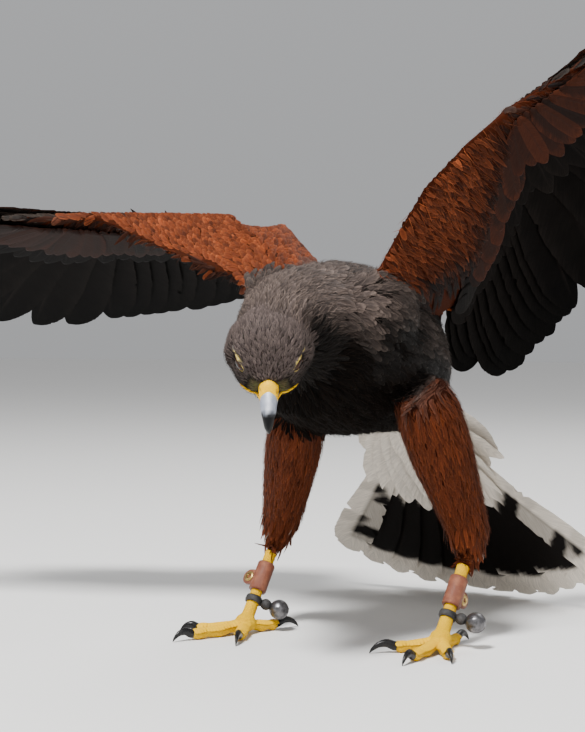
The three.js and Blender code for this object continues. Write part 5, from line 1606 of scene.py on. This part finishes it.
anklet_leather = leather_material("anklet_leather", (0.16, 0.042, 0.018), (0.27, 0.095, 0.045), 0.42)
strap_leather = leather_material("strap_leather", (0.012, 0.011, 0.011), (0.04, 0.036, 0.034), 0.4)
brass = metal_material("eyelet_brass", (0.60, 0.42, 0.14), (0.30, 0.20, 0.08), 0.28)
bell_metal = metal_material("bell_metal", (0.17, 0.165, 0.17), (0.07, 0.068, 0.07), 0.26)
for name, g in legs.items():
    tab_way, bell_way = (unit(np.array(way[name]) - np.dot(way[name], g["down"]) * g["down"])
                         for way in (EYELET_WAY, BELL_WAY))
    bm = bmesh.new()
    add_rings(bm, cuff(g, ANKLET["start"], ANKLET["end"], ANKLET["leather"], 0.6, 40), band=True)
    middle = ankle_at(g, (ANKLET["start"] + ANKLET["end"]) / 2)
    thin = unit(np.cross(tab_way, g["down"]))
    tab_end = tarsus_radius(0.55) + ANKLET["tab"]
    half = ANKLET["tab_height"] / 2
    eye = middle + (tab_end - 6.6) * tab_way
    # The tab: a rounded tongue of two leather layers, creased where they meet
    round_from = tab_end - TAB_ROUND
    outline = [(3, half), (round_from, half)]
    for t in np.linspace(0.25, math.pi - 0.25, 9):
        outline.append((round_from + TAB_ROUND * math.sin(t), half * math.cos(t)))
    outline = np.array(outline + [(round_from, -half), (3, -half)])
    layers = []
    for deep, shrink in TAB_LAYERS:
        pulled = outline - shrink * np.sign(outline - [8, 0])
        deep *= ANKLET["tab_thick"] / 2
        layers.append([middle + a * tab_way + b * g["down"] + deep * thin for a, b in pulled])
    add_rings(bm, layers)
    piece = new_object(f"cuff_{name}", bm, anklet_leather)
    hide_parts(f"anklet_{name}")
    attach(piece, "root")

    # The eyelet: a barrel through the tab, rolled over to a flange on both faces
    face, bore, flange = ANKLET["tab_thick"] / 2, EYELET["bore"], EYELET["flange"]
    profile = [(face, EYELET["barrel"]), (face, flange - 0.3), (face + 0.35, flange),
               (face + 0.8, flange - 0.8), (face + 0.9, bore + 0.5)]
    profile = [(-far, r) for far, r in reversed(profile)] + profile + [(face + 0.5, bore), (-face - 0.5, bore)]
    piece = ringed(f"ring_{name}", turned_rings(eye, thin, profile, 24), brass, band=True)
    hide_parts(f"eyelet_{name}")
    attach(piece, "root")

    # The strap: a band, two ends that reach out from it, and the button they are knotted through
    at = ankle_at(g, (STRAP["start"] + STRAP["end"]) / 2)
    bm = bmesh.new()
    add_rings(bm, cuff(g, STRAP["start"], STRAP["end"], STRAP["leather"], 0.35, 32), band=True)
    other = np.cross(bell_way, g["down"])
    for turn in (0.5, -0.4):
        way = unit(bell_way + turn * 0.25 * g["down"])
        high = unit(np.cross(way, other))
        add_rings(bm, [oval(at + far * way + 0.9 * turn * g["down"], high, other, 1.9, 1.0, 12)
                       for far in (4, 7, STRAP["reach"])])
    knot = at + (STRAP["reach"] + 0.6) * bell_way
    add_rings(bm, turned_rings(knot, unit(other + 0.3 * g["down"]), BUTTON, 18))
    piece = new_object(f"bewit_{name}", bm, strap_leather)
    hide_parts(f"bell_strap_{name}")
    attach(piece, "root")

    # The bell: two cups joined by a seam, with a slot cut through the lower one
    middle = at + BELL["out"] * bell_way
    axis = unit(0.45 * bell_way + g["down"])
    profile = []
    for t in np.linspace(0.04, math.pi - 0.04, 25):
        seam = 1 + 0.035 * (abs(t - math.pi / 2) < 0.07)
        profile.append((-BELL["radius"] * math.cos(t), BELL["radius"] * math.sin(t) * seam))
    bell = ringed(f"sphere_bell_{name}", turned_rings(middle, axis, profile, 36), bell_metal)
    slot_way = unit(np.cross(axis, other))
    long, wide = BELL["slot_half"], BELL["slot"] / 2
    outline = ((-long, -wide), (long, -wide), (long, wide), (-long, wide))
    slot = [[middle + far * axis + a * slot_way + b * other for a, b in outline] for far in (9.5, 3.4)]
    cut(bell, ringed("slot", slot, None))
    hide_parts(f"bell_{name}")
    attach(bell, "root")


# ---- Cere, bill and mouth
# The bill is grey-blue horn darkening to a black hooked tip. Waxy yellow skin, the cere, wraps its root and
# holds the nostrils, and the same yellow lines the corners of the mouth.
# [forward, up, half width, half height above, half height below, lean]
CERE = ((12.6, -4.2, 7.0, 8.3, 5.8, 0), (15.95, -3.2, 6.9, 8.9, 6.0, -4), (20, -2.7, 6.7, 8.5, 6.3, -10),
        (23.4, -3.0, 6.4, 7.3, 6.2, -17), (25.0, -3.2, 6.1, 6.4, 6.0, -20), (25.3, -3.2, 5.4, 5.7, 5.5, -20))
BILL_UPPER = ((19.5, -3.4, 5.7, 6.2, 5.2, -4), (26.6, -3.2, 5.85, 6.2, 5.8, 8), (33, -4.9, 5.4, 5.8, 5.0, 26),
              (38, -8.4, 4.1, 4.7, 3.7, 48), (41, -13, 3.0, 3.3, 2.5, 70), (42, -17.4, 1.5, 1.7, 1.3, 84),
              (42, -20.4, 0.35, 0.35, 0.35, 90))
BILL_LOWER = ((13, -12.4, 7.2, 1.9, 2.7, 0), (15.95, -12.4, 7.0, 1.9, 2.8, 0), (22, -12.4, 6.1, 2.0, 2.8, 0),
              (29, -12.3, 4.7, 1.6, 2.2, 0), (33.6, -12.2, 2.4, 0.7, 1.2, 0))
NOSTRIL = dict(forward=20, up=-0.6, length=2.5, height=1.7)
# [forward, out, up, radius] along one corner of the mouth
GAPE = ((20.5, 6.4, -9.7, 0.2), (18, 7.3, -9.8, 0.5), (15, 9.2, -10.1, 0.7), (11, 13.2, -10.8, 0.8),
        (7, 16.2, -11.4, 0.65), (4, 18, -11.8, 0.2))
BILL_ROWS = 26
BILL_PALE = np.array([0.30, 0.32, 0.37])
BILL_BLACK = np.array([0.002, 0.002, 0.0025])
CERE_YELLOW = np.array([0.80, 0.44, 0.0002])


def bill_rings(stations, corners, ridge=0.0):
    """Rings across the bill that lean over as it hooks down, with a ridge along the top."""
    rings = []
    for forward, up, half, above, below, lean in stations:
        lean = math.radians(lean)
        ring_up = head_up * math.cos(lean) + head_forward * math.sin(lean)
        ring = []
        for turn in np.arange(corners) * 2 * math.pi / corners:
            c, s = math.cos(turn), math.sin(turn)
            width, height = half * (1 - ridge * max(s, 0) ** 2), above if s > 0 else below
            ring.append(in_head(forward, 0, up) + c * width * head_out + s * height * ring_up)
        rings.append(ring)
    return rings


def add_roll(bm, path, radii, wide, high, corners):
    """A roll of skin along a path over the head, of the given shares of its radii across and upwards."""
    rings = []
    for p, way, radius in zip(path, unit(np.gradient(path, axis=0)), radii):
        across = unit(np.cross(way, head_up))
        rings.append(oval(p, across, np.cross(across, way), radius * wide, radius * high, corners))
    add_rings(bm, rings)


def wax_material():
    s = Surface("cere_wax", {"Roughness": 0.4, "Specular IOR Level": 0.07, "Subsurface Weight": 0.05,
                             "Subsurface Radius": (0.003, 0.0018, 0.0005), "Subsurface Scale": 0.4})
    cloud = s.noise(260.0, 4.0)
    s.coloured(s.mix(s.step(cloud, 0.35, 0.7), (*CERE_YELLOW, 1), (0.84, 0.50, 0.0005, 1)))
    s.relief(0.35, 0.0003, cloud)
    return s.material


def bill_material():
    """Blue-grey at the root, black towards the tip, with fine lines of growth."""
    s = Surface("bill_horn", {"Roughness": 0.3, "Specular IOR Level": 0.09, "Coat Weight": 0.05,
                              "Coat Roughness": 0.15})
    grain = s.noise(300.0, 4.0)
    grey = (0.6, 0.62, 0.68, 1)
    s.coloured(s.mix(s.step(grain, 0.3, 0.75, 0.0, 0.6), s.attribute("Tint"), grey, "MULTIPLY"))
    s.relief(0.2, 0.0002, grain)
    return s.material


cere_wax = wax_material()
bill_horn = bill_material()
cere = ringed("cere_skin", bill_rings(eased(CERE, 20), 32, 0.2), cere_wax)
bm = bmesh.new()
for side in (1, -1):
    inner = in_head(NOSTRIL["forward"], side * 5.0, NOSTRIL["up"])
    outer = in_head(NOSTRIL["forward"], side * 12, NOSTRIL["up"] + 1)
    half, high = NOSTRIL["length"], NOSTRIL["height"]
    add_rings(bm, [oval(p, head_forward, head_up, half, high) for p in (inner, outer)])
cut(cere, new_object("nostrils", bm, None))
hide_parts("cere")
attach(cere, "root")

for name, table, corners, ridge, node in (("bill_top", BILL_UPPER, 28, 0.28, "bill_upper"),
                                          ("bill_under", BILL_LOWER, 24, 0.0, "bill_lower")):
    piece = ringed(name, bill_rings(eased(table, BILL_ROWS), corners, ridge), bill_horn)
    at = vertex_array(piece.data) * 1000 - STANCE_SHIFT
    forward, out, rise = head_axes(at)
    if name == "bill_top":
        step_at = np.arange(len(at)) // corners * (len(table) - 1) / (BILL_ROWS - 1)
        tip = smooth_step(1.9, 2.5, step_at + 0.25 * wander(at, 4, 9))[:, None]
    else:
        tip = smooth_step(26, 33, forward)[:, None]
    # Along the top of the ridge the horn is painted paler: a painted highlight
    pale = BILL_PALE + 0.32 * smooth_step(-6, -2, rise)[:, None] * smooth_step(3, 0, np.abs(out))[:, None]
    set_colour(piece.data, "Tint", pale * (1 - tip) + BILL_BLACK * tip)
    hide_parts(node)
    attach(piece, "root")

bm = bmesh.new()
table = eased(GAPE, 18)
for side in (1, -1):
    path = np.array([in_head(f, side * o, u) for f, o, u in table[:, :3]])
    near, out_way = on_skin(path)[:2]
    over = smooth_step(17, 13, table[:, 0])[:, None]
    add_roll(bm, path * (1 - over) + (near + 0.25 * out_way) * over, table[:, 3], 1.25, 0.8, 12)
gape = new_object("gape", bm, cere_wax)
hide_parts("head")
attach(gape, "root")


# ---- Eyes and lids
# Large dark-brown eyes under a bony brow, wet and black-pupilled, each held in a bare yellow rim of skin.
IRIS_TURN, PUPIL_TURN = 46, 19
LID_RINGS = ((0.0, 0.12), (2.0, 0.5), (5, 0.75), (9, 0.85), (15, 0.75), (21, 0.2), (15, -0.7), (3.0, -0.3))
LID_CORNERS = 44
LID_YELLOW = np.array([0.70, 0.50, 0.04])
LID_DULL = np.array([0.10, 0.083, 0.055])
IRIS = np.array([0.03, 0.010, 0.003])
IRIS_RIM = np.array([0.012, 0.008, 0.006])
# [forward, out, up, radius] along one brow
BROW = ((-11, 22, 9.6, 0.2), (-8, 22, 9.8, 0.6), (-3, 21.4, 9.6, 0.75), (2, 18.4, 8.0, 0.65),
        (6, 15, 6.0, 0.2))
BROW_EDGE = np.array([0.62, 0.47, 0.12])
BROW_SKIN = np.array([0.05, 0.038, 0.03])


def eye_material():
    s = Surface("eye_surface", {"Roughness": 0.05, "IOR": 1.22, "Coat Weight": 0.04, "Coat Roughness": 0.02})
    s.coloured(s.attribute("Tint"))
    return s.material


def lid_material():
    s = Surface("lid_skin", {"Roughness": 0.5})
    wrinkle = s.noise(1100.0, 3.0)
    s.coloured(s.mix(s.step(wrinkle, 0.35, 0.7, 0.0, 0.4), s.attribute("Tint"), (0.09, 0.07, 0.04, 1)))
    s.relief(0.5, 0.0003, wrinkle)
    return s.material


eye_surface = eye_material()
lid_skin = lid_material()
draw = np.random.default_rng(51)
for side, name in ((1, "left"), (-1, "right")):
    middle = in_head(EYE["forward"], side * EYE["out"], EYE["up"])
    look, ahead, rise_way = eye_axes(side)
    radius = EYE["radius"] - 0.1
    turns = np.radians(np.concatenate([[1.2], np.arange(4, 180, 4), [178.8]]))
    # The cornea stands a little proud over the iris
    bulge = [1 + 0.05 * float(smooth_step(50, 26, math.degrees(t))) for t in turns]
    rings = []
    for t, b in zip(turns, bulge):
        around = radius * b * math.sin(t)
        rings.append(oval(middle + radius * b * math.cos(t) * look, ahead, rise_way, around, around, 40))
    ball = ringed(f"eyeball_{name}", rings, eye_surface)
    at = vertex_array(ball.data) * 1000 - STANCE_SHIFT - middle
    polar = np.degrees(np.arccos(np.clip(unit(at) @ look, -1, 1)))
    spoke = np.arctan2(at @ rise_way, at @ ahead)
    iris = IRIS * (1 + 0.35 * np.sin(spoke * 23 + 2 * np.sin(spoke * 5))[:, None] * 0.6)
    ring = smooth_step(IRIS_TURN - 8, IRIS_TURN, polar)[:, None]
    pupil = smooth_step(PUPIL_TURN + 1.5, PUPIL_TURN - 1.5, polar)[:, None]
    colour = iris * (1 - ring) + IRIS_RIM * ring
    set_colour(ball.data, "Tint", colour * (1 - pupil) + 0.002 * pupil)
    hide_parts(f"eye_{name}")
    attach(ball, "root")

    rings = []
    for extra, out in LID_RINGS:
        ring = []
        for turn in np.arange(LID_CORNERS) * 2 * math.pi / LID_CORNERS:
            polar = math.radians(float(opening(turn)) + extra)
            far = EYE["radius"] + out
            spokes = math.cos(turn) * ahead + math.sin(turn) * rise_way
            ring.append(middle + far * (math.cos(polar) * look + math.sin(polar) * spokes))
        rings.append(ring)
    lids = ringed(f"lids_{name}", rings, lid_skin, band=True)
    at = vertex_array(lids.data) * 1000 - STANCE_SHIFT - middle
    polar = np.degrees(np.arccos(np.clip(unit(at) @ look, -1, 1)))
    edge = (smooth_step(55, 49, polar) * (1 - 0.6 * smooth_step(-1, 3, at @ rise_way)))[:, None]
    set_colour(lids.data, "Tint", LID_YELLOW * edge + LID_DULL * (1 - edge))
    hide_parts("head")
    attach(lids, "root")

# The bony brow: a bare, pale-edged ridge that shades each eye
bm = bmesh.new()
table = eased(BROW, 22)
for side in (1, -1):
    near, out_way = on_skin(np.array([in_head(f, side * o, u) for f, o, u in table[:, :3]]))[:2]
    add_roll(bm, near + 0.35 * out_way, table[:, 3], 1.5, 0.7, 14)
brow = new_object("brows", bm, lid_skin)
at = vertex_array(brow.data) * 1000 - STANCE_SHIFT
forward, out, rise = head_axes(at)
edge = smooth_step(-10, -6, forward) * smooth_step(5, 1, forward) * smooth_step(-0.35, 0.25, wander(at, 5, 8))
edge = edge[:, None]
set_colour(brow.data, "Tint", BROW_EDGE * edge + BROW_SKIN * (1 - edge))
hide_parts("head")
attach(brow, "root")

# Sparse dark bristles over the bare lores
spacing = np.where(bare_lore & (head_axes(face_middle)[0] < 15.5), 1.35, 0.0)
roots, faces = scatter(spacing, 55)
lengths = draw.uniform(3.0, 5.5, len(roots))
spines, sides, ups, faces = laid(roots, trunk_lie, lengths, 1.5, 0.2, VANE_ROWS, draw, stray=0.3)
tint, fringe = (np.tile(colour, (len(roots), 1)) for colour in DARK)
piece = vanes("lore_bristles", spines, sides, ups, 0.13, 0.13, POINTED_TIP, faces, tint, fringe, VANE_ROWS,
              COATS["head_feathers"][1], ribs=1, thick=0.16, seed=56)
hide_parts("head")
